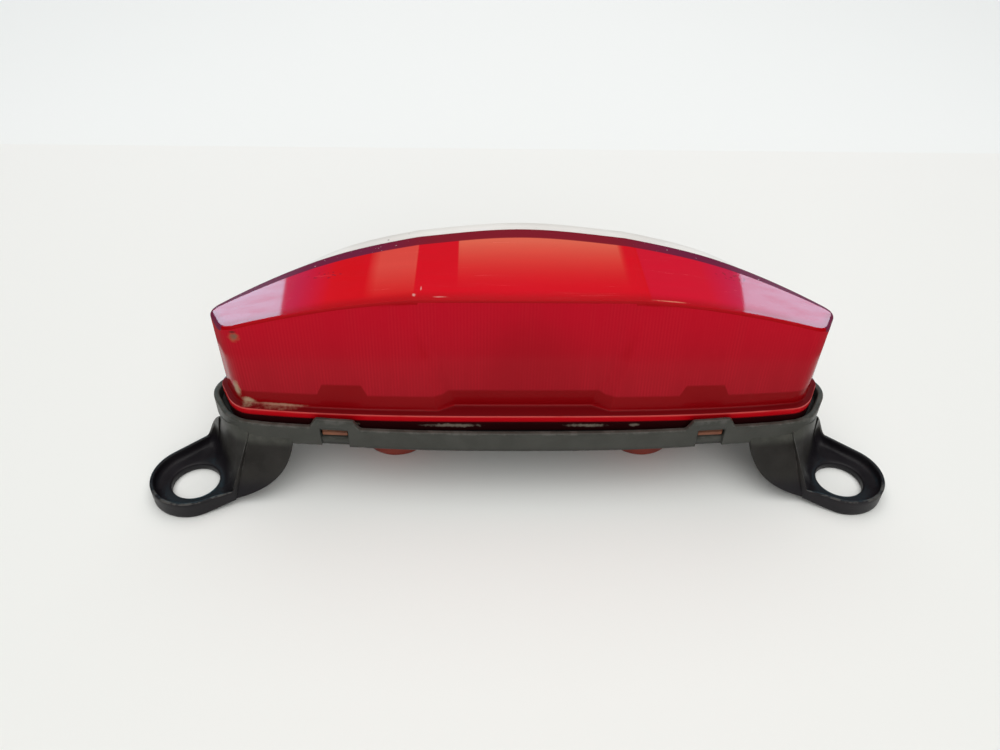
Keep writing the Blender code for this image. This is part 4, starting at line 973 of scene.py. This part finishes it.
inner_levels = np.concatenate(((0.0,), np.linspace(0.04, 0.95, 6), (1.0,)))
inner_wall = wall_rings(LENS_WALL + flutes, inner_levels, LENS_WALL + TOP_EDGE, LENS_FOOT - LENS_WALL)
inner_top = top_rings(LENS_WALL + TOP_EDGE, LENS_WALL, (0.0, 0.3, 0.6, 0.85, 1.0))
outer_levels = np.concatenate(((0.008, 0.02, 0.04), np.linspace(0.1, 0.97, 10), (1.0,)))
outer_wall = wall_rings(0.0, outer_levels, TOP_EDGE, LENS_FOOT)
edge_rings = np.concatenate([top_rings(TOP_EDGE * (1 - math.cos(a)), TOP_EDGE * (1 - math.sin(a)), (1.0,))
                             for a in np.linspace(0.0, math.pi / 2, 6)[1:-1]])
outer_top = top_rings(TOP_EDGE, 0.0, (1.0, 0.98, 0.96, 0.94, 0.92, 0.9, 0.87, 0.83, 0.7, 0.45, 0.2, 0.0))
ledge_rings = [raised(outline(0.0, grow, lens_shares), z)[None] for grow, z in (
    (SKIRT_IN, LENS_FOOT - LENS_WALL), (SKIRT_IN, SKIRT_FOOT + 0.0003), (SKIRT_IN + 0.0003, SKIRT_FOOT),
    (ledge - 0.0004, SKIRT_FOOT), (ledge, SKIRT_FOOT + 0.0004), (ledge, LENS_FOOT - 0.0008),
    (ledge, LENS_FOOT - 0.0004), (ledge - 0.0001, LENS_FOOT - 0.0001), (ledge - 0.0004, LENS_FOOT))]
ledge_fillet = wall_rings(-LEDGE_FILLET, (0.0,), TOP_EDGE, LENS_FOOT)
lens_parts = (inner_top, inner_wall[::-1], *ledge_rings, ledge_fillet, outer_wall, edge_rings, outer_top)
lens_points = np.concatenate(lens_parts)
part_start = np.cumsum([0] + [len(part) for part in lens_parts])
ledge_edge, fillet_row, edge_row = slice(part_start[8], part_start[10]), part_start[11], part_start[13]
crest_width = np.interp(foot_x, (0.0, 0.04, 0.070, 0.092, 0.108),
                        (CREST_MIDDLE, CREST_MIDDLE, CREST_WING, 0.7 * CREST_WING, CREST_TIP))
crest_width = np.where(front_side, CREST_END, crest_width)
from_edge = np.linalg.norm(lens_points[:, :, :2] - lens_points[edge_row - 1, :, :2], axis=2)
crest = np.where(front_side & (foot_x < CREST_END_X), 3.0, from_edge / crest_width)
crest[:edge_row - 1] = 3.0
band_top = np.interp(foot_x, (0.0265, 0.0285, 0.0545, 0.0565, 0.070, 0.072),
                     (0.0404, 0.0395, 0.0395, 0.0436, 0.0436, 0.0395)) * np.ones(lens_points.shape[:2])
band_top[:fillet_row] = 0.0
wear = np.zeros(lens_points.shape[:2])
wear[ledge_edge] = 1.0
wear[fillet_row] = 0.5
front_edge = np.where(front_side, from_edge, 1.0)
front_edge[:edge_row - 1] = 1.0
lens = skin("lens_shell", lens_points, flow=[flow], crest=[crest], band=[band_top], wear=[wear],
            front_edge=[front_edge])

OPENING_HALF = 0.066
OPENING_FOOT = 0.046
OPENING_HEAD = 0.0669
OPENING_FRONT = 0.0060
OPENING_ROUND = 0.003
opening_x, opening_z = eased_box(-OPENING_HALF, OPENING_HALF, OPENING_FOOT, OPENING_HEAD, OPENING_ROUND, 6).T
hole_rows = [np.column_stack((opening_x, np.full(len(opening_x), y), opening_z))
             for y in (OPENING_FRONT, BACK_Y + CUT_OVER)]
carved(lens, skin("window_hole", capped(np.stack(hole_rows))))

patch, given, result = effect("ragged_patch", {"Centre": (0.0, 0.0, 0.0), "Reach": (0.01, 0.01, 0.01),
                                               "Soft": 0.5, "Ragged": 0.3, "Scale": 300.0}, "Mask")
offset = patch.add("VectorMath", {0: patch.spot(), 1: given["Centre"]}, operation="SUBTRACT")[0]
offset = patch.add("VectorMath", {0: offset, 1: given["Reach"]}, operation="DIVIDE")[0]
apart = patch.add("VectorMath", {0: offset}, operation="LENGTH")["Value"]
torn = patch.calc("SUBTRACT", patch.noise(given["Scale"], 5.0, 0.6), 0.5)
apart = patch.calc("ADD", apart, patch.times(torn, given["Ragged"]))
patch.feed(result, {"Mask": patch.ramp(apart, 1.0, patch.rest(given["Soft"]))})

field, given, result = effect("soft_edged_field", {
    "Low": (0.0, 0.0, 0.0), "High": (0.01, 0.01, 0.01), "Fade_low": (0.001, 0.001, 0.001),
    "Fade_high": (0.001, 0.001, 0.001)}, "Mask")
where = field.spot()
inside_both = (1.0, 1.0, 1.0)
for first, second, fade in ((where, given["Low"], given["Fade_low"]),
                            (given["High"], where, given["Fade_high"])):
    depth = first
    for operation, other in (("SUBTRACT", second), ("DIVIDE", fade), ("MAXIMUM", (0.0, 0.0, 0.0)),
                             ("MINIMUM", (1.0, 1.0, 1.0)), ("MULTIPLY", inside_both)):
        depth = field.add("VectorMath", {0: depth, 1: other}, operation=operation)[0]
    inside_both = depth
inside_both = field.parts(inside_both)
field.feed(result, {"Mask": field.times(field.times(inside_both["X"], inside_both["Y"]), inside_both["Z"])})

red_acrylic, paint = finish("red_acrylic")
coords = paint.add("TexCoord", {})
where = coords["Object"]
place_at = paint.parts(where)
height = place_at["Z"]
from_middle = paint.calc("ABSOLUTE", place_at["X"])
facing = paint.parts(coords["Normal"])["Z"]
above_wall = paint.ramp(height, 0.052, 0.056)
on_top, on_face, edge_shade_mask = (paint.times(paint.ramp(facing, low, high), above_wall)
                            for low, high in ((0.93, 0.962), (0.962, 0.970), (0.16, 0.3)))


def blotted(colour, mask, blot, strength=1.0):
    """Colour laid over with a blot where the mask is, at a strength."""
    return paint.mix(mask if strength == 1.0 else paint.times(mask, strength), colour, blot)


def patched(centre, reach, soft=0.8, ragged=1.0, scale=600.0):
    """Mask of a ragged patch round a centre."""
    return paint.place(patch, Centre=centre, Reach=reach, Soft=soft, Ragged=ragged, Scale=scale)["Mask"]


# The wall: darker towards its foot, with flutes, streaks, a dusky middle, a stepped band at its foot
# painted dark as a reflection of the housing and its tabs, and painted shade along the rounded edge at its
# head
stripe = paint.calc("SINE", paint.times(paint.mark("flow"), 2 * math.pi / FLUTE_PITCH))
stripe = paint.scaled(stripe, 0.5, 0.5)
upright = paint.add("Mapping", {"Vector": where, "Scale": (1.0, 1.0, 0.12)})[0]
streaks = paint.noise(210.0, 4.0, 0.6, upright)
cloud = paint.noise(60.0, 4.0)
colour = paint.mix(paint.ramp(height, 0.038, 0.074), (0.40, 0.0055, 0.0145), (0.565, 0.002, 0.0175))
colour = blotted(colour, paint.times(stripe, paint.ramp(streaks, 0.3, 0.75)), (0.72, 0.014, 0.034), 0.3)
colour = blotted(colour, paint.ramp(streaks, 0.42, 0.75), (0.36, 0.003, 0.012), 0.14)
dusk = patched((0.001, -0.019, 0.050), (0.026, 0.02, 0.030), 0.85, 0.3, 80.0)
colour = blotted(colour, dusk, (0.36, 0.0025, 0.010), 0.5)
# Painted reflection: the wall's foot darkened in a stepped band where the dark housing and its tabs are
# reflected
band = paint.calc("SUBTRACT", paint.mark("band"), height)
colour = blotted(colour, paint.ramp(band, -0.0006, 0.0005), (0.275, 0.0006, 0.0032))
# Painted shade along the rounded edge between the wall and the top, picked out by its facing
colour = blotted(colour, edge_shade_mask, (0.40, 0.0003, 0.004))

# The top: picked out by its facing and painted a brighter red than the wall, with painted light in fields:
# the middle facet and the right wing tinted as painted reflections, magenta painted reflections at the
# wing ends and orange painted highlights in the middle and on the left; and painted shade along the front
# edge
top_red = paint.mix(paint.ramp(cloud, 0.35, 0.7), (0.78, 0.0004, 0.008), (0.80, 0.0008, 0.012))
colour = paint.mix(on_top, colour, top_red)
# Painted light on the top, field by field: tinted facets, magenta reflections at the wing ends and orange
# highlights
painted_light_fields = (
    ((-0.0375, -0.03), (0.0405, 0.04), (0.0004, 0.001), (0.0006, 0.001), 1.0, (0.80, 0.003, 0.018), 0.6),
    ((0.0405, -0.03), (0.12, 0.04), (0.0008, 0.001), (0.02, 0.001), 1.0, (0.76, 0.005, 0.036), 0.8),
    ((-0.12, -0.03), (-0.066, 0.04), (0.001, 0.001), (0.011, 0.001), 1.0, (0.61, 0.005, 0.075), 0.75),
    ((0.062, -0.03), (0.12, 0.04), (0.011, 0.001), (0.001, 0.001), 1.0, (0.63, 0.005, 0.075), 0.75),
    ((-0.0235, -0.012), (0.037, 0.0292), (0.0006, 0.036), (0.003, 0.0008), 2.3, (0.90, 0.155, 0.095), 1.0),
    ((-0.0545, -0.014), (-0.0372, 0.027), (0.004, 0.022), (0.0005, 0.0008), 1.0, (0.86, 0.088, 0.066), 0.9))
for low, high, fade_low, fade_high, power, blot, strength in painted_light_fields:
    box = paint.place(field, Low=(*low, 0.05), High=(*high, 0.08), Fade_low=(*fade_low, 0.001),
                      Fade_high=(*fade_high, 0.001))
    shown = paint.times(box["Mask"], on_top)
    colour = blotted(colour, shown if power == 1.0 else paint.calc("POWER", shown, power), blot, strength)
# Painted shade: the top darkened towards its front edge
shaded = paint.times(paint.ramp(paint.mark("front_edge"), 0.0065, 0.0), on_top)
colour = blotted(colour, shaded, (0.46, 0.0003, 0.005), 0.85)

# The skirt and ledge at the foot, painted by facing as lit and shaded: the skirt bright red and the ledge's
# top dark; the skirt's low part painted near black as the shade in the channel behind the rim, with pale
# patches there
foot_lit_and_shaded = paint.mix(paint.ramp(facing, 0.4, 0.8), (0.56, 0.001, 0.007), (0.17, 0.0025, 0.005))
# Painted shade: the skirt near black below the line where the rim's shadow falls
foot_lit_and_shaded = paint.mix(paint.ramp(height, 0.0319, 0.0311), foot_lit_and_shaded, (0.026, 0.003, 0.004))
for x, reach in ((-0.025, 0.012), (0.022, 0.009), (0.039, 0.002), (-0.060, 0.003)):
    pale_patches = patched((x, -0.0245, 0.0297), (reach, 0.004, 0.0010), ragged=1.5)
    foot_lit_and_shaded = blotted(foot_lit_and_shaded, pale_patches, (0.34, 0.29, 0.23), 0.8)
colour = paint.mix(paint.rest(paint.ramp(height, 0.0340, 0.0343)), colour, foot_lit_and_shaded)

# The crest, a dark line along the back of the top with pale flecks, and two rows of dots before it
dark_line = paint.ramp(paint.mark("crest"), 1.06, 0.94)
crest_red = paint.mix(paint.ramp(from_middle, 0.03, 0.06), (0.24, 0.014, 0.028), (0.17, 0.019, 0.058))
flecks = paint.times(paint.ramp(paint.noise(900.0, 3.0), 0.70, 0.75), paint.ramp(from_middle, 0.035, 0.05))
colour = paint.mix(dark_line, colour, blotted(crest_red, flecks, (0.75, 0.62, 0.66)))
dots = paint.add("TexVoronoi", {"Vector": where, "Scale": 620.0})["Distance"]
for x, y in ((-0.069, 0.0055), (0.0735, 0.0075)):
    row = patched((x, y, 0.0705), (0.0075, 0.0035, 0.01), 0.4, 0.5, 300.0)
    dotted = paint.times(row, paint.ramp(dots, 0.34, 0.24))
    colour = blotted(colour, paint.times(dotted, on_top), (0.36, 0.006, 0.03), 0.75)

# Wear and painted highlights: painted highlights along the ledge's edge and the wall's foot, scuffs on the
# top with a painted highlight along its front edge on the right, and chips with dirt on the left corner
# Painted highlight: pale lines along the ledge's outer edge and, fainter, along the wall's foot
ledge_highlight = paint.times(paint.ramp(paint.mark("wear"), 0.35, 1.0), paint.ramp(cloud, 0.2, 0.5))
colour = blotted(colour, ledge_highlight, (0.80, 0.14, 0.13), 0.55)
for centre, reach, blot in (
        ((-0.0372, -0.0117, 0.0756), (0.0008, 0.0012, 0.003), (0.86, 0.46, 0.43)),
        ((-0.0351, -0.0077, 0.0758), (0.0003, 0.0017, 0.003), (0.86, 0.38, 0.36)),
        ((-0.0286, -0.0127, 0.0757), (0.0030, 0.0004, 0.003), (0.86, 0.32, 0.29)),
        # painted highlight: a thin orange line along the top's front edge on the right
        ((0.0470, -0.0137, 0.0745), (0.0080, 0.0005, 0.003), (0.85, 0.26, 0.17)),
        ((-0.0966, -0.0165, 0.0630), (0.0026, 0.0050, 0.0027), (0.48, 0.13, 0.06)),
        ((-0.0966, -0.0165, 0.0634), (0.0019, 0.0050, 0.0020), (0.16, 0.12, 0.085)),
        ((-0.0966, -0.0165, 0.0652), (0.0015, 0.0050, 0.0007), (0.04, 0.015, 0.015)),
        ((-0.1003, -0.0160, 0.0395), (0.0018, 0.0050, 0.0050), (0.46, 0.33, 0.20)),
        ((-0.0970, -0.0178, 0.0352), (0.0034, 0.0040, 0.0018), (0.56, 0.46, 0.30)),
        ((-0.0860, -0.0195, 0.0345), (0.0125, 0.0040, 0.0007), (0.52, 0.30, 0.20))):
    colour = blotted(colour, patched(centre, reach), blot, 0.85)
scuff = paint.place(scratches, Scale=330.0)["Mask"]
colour = blotted(colour, paint.times(scuff, on_top), (0.84, 0.3, 0.3), 0.05)

# Gloss: a coat on the top, wiped unevenly, that leaves out the crest, and a sheen on the wall's ends
wiped = paint.add("Mapping", {"Vector": where, "Rotation": (0.0, 0.0, 0.5), "Scale": (0.25, 1.0, 1.0)})[0]
wiped = paint.ramp(paint.noise(260.0, 5.0, at=wiped), 0.72, 0.40)
glossy = paint.times(paint.times(on_face, paint.rest(dark_line)), paint.scaled(wiped, 0.22, 0.78))
sheen = paint.scaled(paint.ramp(from_middle, 0.097, 0.104), 0.4, 0.06)
glossy = paint.calc("ADD", glossy, paint.times(sheen, paint.rest(above_wall)))
rough = paint.calc("ADD", paint.scaled(on_top, -0.2, 0.42), paint.times(scuff, 0.1))
paint.shade(colour, rough, IOR=1.49, Transmission_Weight=0.15, Specular_IOR_Level=0.0, Coat_Weight=glossy,
            Coat_Roughness=0.05, Coat_IOR=1.5)
dress(lens, red_acrylic, "lens", "lamp", "lens")

HOOK_HALF = 0.0045
HOOK_IN = 0.0026
HOOK_LIP_IN = 0.0035
HOOK_OUT = 0.0054
HOOK_TOP = 0.0293
HOOK_LOW = 0.0260
HOOK_EASE = 0.0004
hooks = skin("lens_hooks", *[rim_block(x, behind, HOOK_HALF, inner, HOOK_OUT, low, HOOK_TOP, HOOK_EASE)
                             for x, behind in hook_spots
                             for inner, low in ((HOOK_IN, SKIRT_FOOT), (HOOK_LIP_IN, HOOK_LOW))])
hook_acrylic = moulding("dusty_red_acrylic", 1800.0, (0.16, 0.05, 0.025), (0.24, 0.095, 0.05), 0.4, 0.2,
                        0.00004, dusty=(0.7, 400.0, (0.28, 0.17, 0.11)), IOR=1.49, Specular_IOR_Level=0.25)
dress(hooks, hook_acrylic, "lens", "lamp", "lens")

# Reflector, moulded in plastic and metallised: a sheet just inside the lens wall with a fluted bowl
# round each bulb, held by four plated screws.

REFLECTOR_GAP = 0.001
REFLECTOR_FLOOR = 0.0365
REFLECTOR_TOP = 0.0381
REFLECTOR_LEVEL = 0.228
BOWL_MARGIN = 0.0012
BOWL_THROAT = 0.014
BOWL_FOOT = 0.0298
BOWL_WALL = 0.0016
BOWL_FLUTES = 30
BOWL_RIPPLE = 0.00025
BOWL_STEPS = 240
SHEET_EASE = 0.0003

edge = wall_rings(LENS_WALL + REFLECTOR_GAP, (REFLECTOR_LEVEL,), TOP_EDGE, LENS_FOOT)[0, :, :2]
bowl_radius = float(np.min(np.linalg.norm(edge - (BULB_X, BULB_Y), axis=1))) - BOWL_MARGIN
low, high = raised(edge, REFLECTOR_FLOOR), raised(edge, REFLECTOR_TOP)
sheet_points = np.concatenate((drawn_in(low, (0.0, 0.5, 0.97, 0.99)), (low + (0.0, 0.0, SHEET_EASE))[None],
                               (high - (0.0, 0.0, SHEET_EASE))[None], drawn_in(high, (0.99, 0.97, 0.5, 0.0))))
reflector_sheet = skin("reflector_sheet", sheet_points)
hole = ((bowl_radius - BOWL_WALL / 2,) * 2, (REFLECTOR_FLOOR - CUT_OVER, REFLECTOR_TOP + CUT_OVER))
carved(reflector_sheet, skin("bowl_holes", *[capped(turned(hole, axis, 96)) for side, axis in sides]))
share = np.linspace(0.0, 1.0, 20) ** 2
bowl_face = np.column_stack((BOWL_THROAT + (bowl_radius - BOWL_WALL - BOWL_THROAT) * np.sqrt(share),
                             BOWL_FOOT + (REFLECTOR_TOP - SHEET_EASE / 2 - BOWL_FOOT) * share))
bowl_profile = np.vstack((bowl_face[::-1] + (BOWL_WALL, 0.0), bowl_face))
bowl_turn = full_turn(BOWL_STEPS)
ripple = BOWL_RIPPLE * np.concatenate((np.zeros(len(share)), np.sin(share * math.pi)))
bowl_radii = bowl_profile[:, :1] + ripple[:, None] * np.cos(BOWL_FLUTES * bowl_turn)
bowls = [looped(turned((bowl_radii, bowl_profile[:, 1]), axis, BOWL_STEPS)) for side, axis in sides]
bowls = skin("reflector_bowls", *bowls)
metallised = metal("metallised_plastic", (0.80, 0.80, 0.81), (0.88, 0.88, 0.89), 0.06)
for piece in (reflector_sheet, bowls):
    dress(piece, metallised, "reflector", "lamp", "reflector")
repaint(metal("zinc_plate", (0.50, 0.49, 0.46), (0.68, 0.67, 0.64), 0.24), "reflector_screw_")

# Number plate window, moulded in clear acrylic: a shallow bay bonded over the opening in the lens's
# back wall, with upright prisms inside it, and a frosted lip along its head.

WINDOW_HALF = 0.079
WINDOW_BULGE = 0.0054
WINDOW_TIP = 0.0008
WINDOW_FOOT = 0.042
WINDOW_DROP = 0.0008
WINDOW_WALL = 0.002
WINDOW_LIP = 0.0017
WINDOW_GAP = 0.0003
POCKET_HALF = 0.070
POCKET_BACK = 0.004
PRISM_PITCH = 0.0024
PRISM_DEPTH = 0.0004

window_x = np.linspace(-1.0, 1.0, 241)
back_runs = []
for level in (0.0, 1.0):
    half = outline(level, 0.0, lens_shares)[:lens_count // 2 + 1]
    back_runs.append(half[len(half) // 2:][::-1])


def capped_line(grid):
    """Grid of crescent rings with each end closed on the line halfway between its two sides."""
    def middle(ring):
        """Each point moved to halfway between it and its opposite."""
        return (ring + ring[:, ::-1]) / 2

    return np.concatenate((middle(grid[:1]), grid, middle(grid[-1:])))


def window_head(x):
    """Height of the window's head, just under the lens's top."""
    return top_height(x, 1.0) - WINDOW_DROP


def bay(name, half, rows, back_off=0.0):
    """Bay through crescents in plan: the bowed face from end to end, then back along the lens wall.

    Each row gives how far the face grows, and a height. The bow is an eighth power, full in the middle,
    and the wall's line is read between its foot and its head at the height.
    """
    x = window_x * half
    foot, head = (np.interp(np.abs(x), run[:, 0], run[:, 1]) for run in back_runs)
    bow = WINDOW_TIP + WINDOW_BULGE * (1 - (x / WINDOW_HALF) ** 8)
    rings = []
    for grow, height in rows:
        z = np.broadcast_to(height, x.shape)
        y = foot + (head - foot) * (z - LENS_FOOT) / (top_height(x, 1.0) - TOP_EDGE - LENS_FOOT) + WINDOW_GAP
        face = np.column_stack((x, y + np.maximum(bow + grow, WINDOW_TIP / 2), z))
        rings.append(np.vstack((face[::-1], np.column_stack((x, y - back_off, z)))))
    return skin(name, capped_line(np.stack(rings)))


head = window_head(window_x * WINDOW_HALF)
window = bay("window_bay", WINDOW_HALF, ((-0.0006, WINDOW_FOOT), (-0.0002, WINDOW_FOOT + 0.0002),
                                         (0.0, WINDOW_FOOT + 0.0006), (0.0, head - WINDOW_LIP)))
prisms = PRISM_DEPTH * (0.5 - 0.5 * np.cos(window_x * POCKET_HALF * 2 * math.pi / PRISM_PITCH))[::-1]
pocket_head = window_head(window_x * POCKET_HALF) - WINDOW_WALL
carved(window, bay("window_pocket", POCKET_HALF, [(-WINDOW_WALL - prisms, height) for height in
                                                  (WINDOW_FOOT + WINDOW_WALL, pocket_head)], POCKET_BACK))
clear_acrylic, paint = finish("clear_acrylic")
colour = paint.mix(paint.place(grain, Scale=300.0)["Mottle"], (0.95, 0.95, 0.93), (0.89, 0.89, 0.87))
rough = paint.scaled(paint.place(scratches, Scale=300.0)["Mask"], 0.25, 0.08)
paint.shade(colour, rough, IOR=1.49, Transmission_Weight=0.8)
dress(window, clear_acrylic, "clear_window", "lamp", "plate_window")
lip = bay("window_lip", WINDOW_HALF, (
    (0.0, head - WINDOW_LIP + 0.00003), (0.0, head - 0.0009), (-0.0003, head - 0.0003), (-0.0009, head)))
frosted_acrylic, paint = finish("frosted_acrylic")
haze = paint.place(grain, Scale=420.0)
colour = paint.mix(haze["Mottle"], (0.88, 0.86, 0.83), (0.94, 0.925, 0.90))
colour = paint.mix(paint.ramp(paint.noise(330.0, 2.0), 0.70, 0.76), colour, (0.30, 0.27, 0.24))
paint.shade(colour, paint.scaled(haze["Mottle"], 0.2, 0.35), IOR=1.49, Transmission_Weight=0.1,
            Normal=paint.bump(haze["Height"], 0.00003))
dress(lip, frosted_acrylic, "clear_window", "lamp", "plate_window")

# Floor and backdrop: two pale sheets of paper that meet behind the part. They show from above only,
# so that the part's underside can be seen.

STAGE_SIDE = 1.2
FLOOR_Z = -0.0002
FOLD_Y = 0.28
FOLD_Z = -0.002
BACKDROP_Y = 1.3
BACKDROP_Z = 0.12

for name, front, back, near, far in (
        ("floor", (-STAGE_SIDE, FLOOR_Z), (FOLD_Y, FLOOR_Z), (0.88, 0.90, 0.885), (0.98, 0.99, 0.985)),
        ("backdrop", (FOLD_Y, FOLD_Z), (BACKDROP_Y, BACKDROP_Z), (0.95, 0.98, 0.985), (0.95, 0.98, 0.99))):
    mesh = bpy.data.meshes.new(name)
    corners = [(-STAGE_SIDE, *front), (STAGE_SIDE, *front), (STAGE_SIDE, *back), (-STAGE_SIDE, *back)]
    mesh.from_pydata(corners, [], [(0, 1, 2, 3)])
    piece = bpy.data.objects.new(name, mesh)
    scene.collection.objects.link(piece)
    paper, paint = finish(name + "_paper")
    # Painted light: the floor's paper painted lighter towards the back
    shade = paint.mix(paint.ramp(paint.parts(paint.spot())["Y"], -0.15, 0.45), near, far)
    colour = paint.mix(paint.times(paint.noise(4.0, 2.0), 0.1), shade, (0.80, 0.80, 0.78))
    from_above = paint.rest(paint.add("NewGeometry", {})["Backfacing"])
    paint.shade(colour, 0.9, Specular_IOR_Level=0.1, Alpha=from_above)
    mesh.materials.append(paper)

# Light: a broad soft light overhead, fills from the front and the back, and two bright windows behind,
# which show only as reflections. The room is dim, but white to the camera.

LAMPLIGHT = (1.0, 0.988, 0.968)
LENS_MIDDLE = np.array((0.0, 0.01, 0.07))
WINDOW_AWAY = 1.6
WINDOW_SIZE = 0.42


def soft_light(name, place_at, aim, width, depth, radiance, colour=LAMPLIGHT, roll=0.0):
    """Oblong lamp that faces a point, rolled about its axis; power is radiance times pi times area."""
    lamp = bpy.data.lights.new(name, "AREA")
    lamp.shape = "RECTANGLE"
    lamp.size = width
    lamp.size_y = depth
    lamp.energy = radiance * math.pi * width * depth
    lamp.color = colour
    obj = bpy.data.objects.new(name, lamp)
    scene.collection.objects.link(obj)
    away = unit(np.subtract(place_at, aim))
    level = unit(np.cross((0.0, 1.0, 0.0) if abs(away[2]) > 0.95 else (0.0, 0.0, 1.0), away))
    side = level * math.cos(roll) + np.cross(away, level) * math.sin(roll)
    up = np.cross(away, side)
    obj.matrix_world = Matrix([[side[i], up[i], away[i], place_at[i]] for i in range(3)] + [[0, 0, 0, 1]])
    obj.visible_camera = False
    return obj


soft_light("overhead", (0.0, -0.4, 1.5), (0.0, -0.2, 0.0), 2.1, 2.1, 1.75)
soft_light("front_fill", (0.15, -1.55, 0.8), (0.0, 0.0, 0.05), 1.5, 1.0, 2.0).visible_glossy = False
soft_light("back_fill", (0.0, 0.9, 1.2), (0.0, 0.6, 0.0), 1.6, 0.8, 1.5).visible_glossy = False
for name, azimuth, elevation, roll, radiance, daylight in (
        ("window_left", -33.5, 16.5, -36.0, 5.1, (0.30, 0.78, 0.97)),
        ("window_right", 37.6, 15.0, 30.0, 3.7, (0.35, 0.78, 0.98))):
    a, e = math.radians(azimuth), math.radians(elevation)
    away = np.array((math.sin(a) * math.cos(e), math.cos(a) * math.cos(e), math.sin(e)))
    pane = soft_light(name, LENS_MIDDLE + WINDOW_AWAY * away, LENS_MIDDLE, WINDOW_SIZE, WINDOW_SIZE, radiance,
                      daylight, math.radians(roll))
    pane.visible_diffuse = False

world = bpy.data.worlds.new("room")
scene.world = world
world.use_nodes = True
paint = Paint(world.node_tree)
seen = paint.scaled(paint.add("LightPath", {})["Is Camera Ray"], 0.8, 0.07)
paint.feed(world.node_tree.nodes["Background"], {"Color": (1.0, 0.99, 0.975, 1.0), "Strength": seen})

# Camera: it stands where the photograph was taken from, with the same lens, tilted down, turned to the
# right by a little and rolled.

CAMERA_AT = (-0.0165, -0.23165, 0.2214)
FOCAL_LENGTH_MM = 28.8
SENSOR_WIDTH_MM = 36.0
PITCH = math.radians(39.2)
YAW = math.radians(2.12)
ROLL = math.radians(-1.42)

ahead = np.array((math.sin(YAW) * math.cos(PITCH), math.cos(YAW) * math.cos(PITCH), -math.sin(PITCH)))
right = np.array((math.cos(YAW), -math.sin(YAW), 0.0))
down = np.cross(ahead, right)
axes = np.column_stack((right * math.cos(ROLL) + down * math.sin(ROLL),
                        right * math.sin(ROLL) - down * math.cos(ROLL), -ahead))
camera = bpy.data.objects.new("camera", bpy.data.cameras.new("camera"))
scene.collection.objects.link(camera)
camera.data.lens = FOCAL_LENGTH_MM
camera.data.sensor_width = SENSOR_WIDTH_MM
camera.data.clip_start = 0.01
camera.matrix_world = Matrix([[*axes[i], CAMERA_AT[i]] for i in range(3)] + [[0, 0, 0, 1]])
scene.camera = camera
scene.view_settings.view_transform = "Standard"
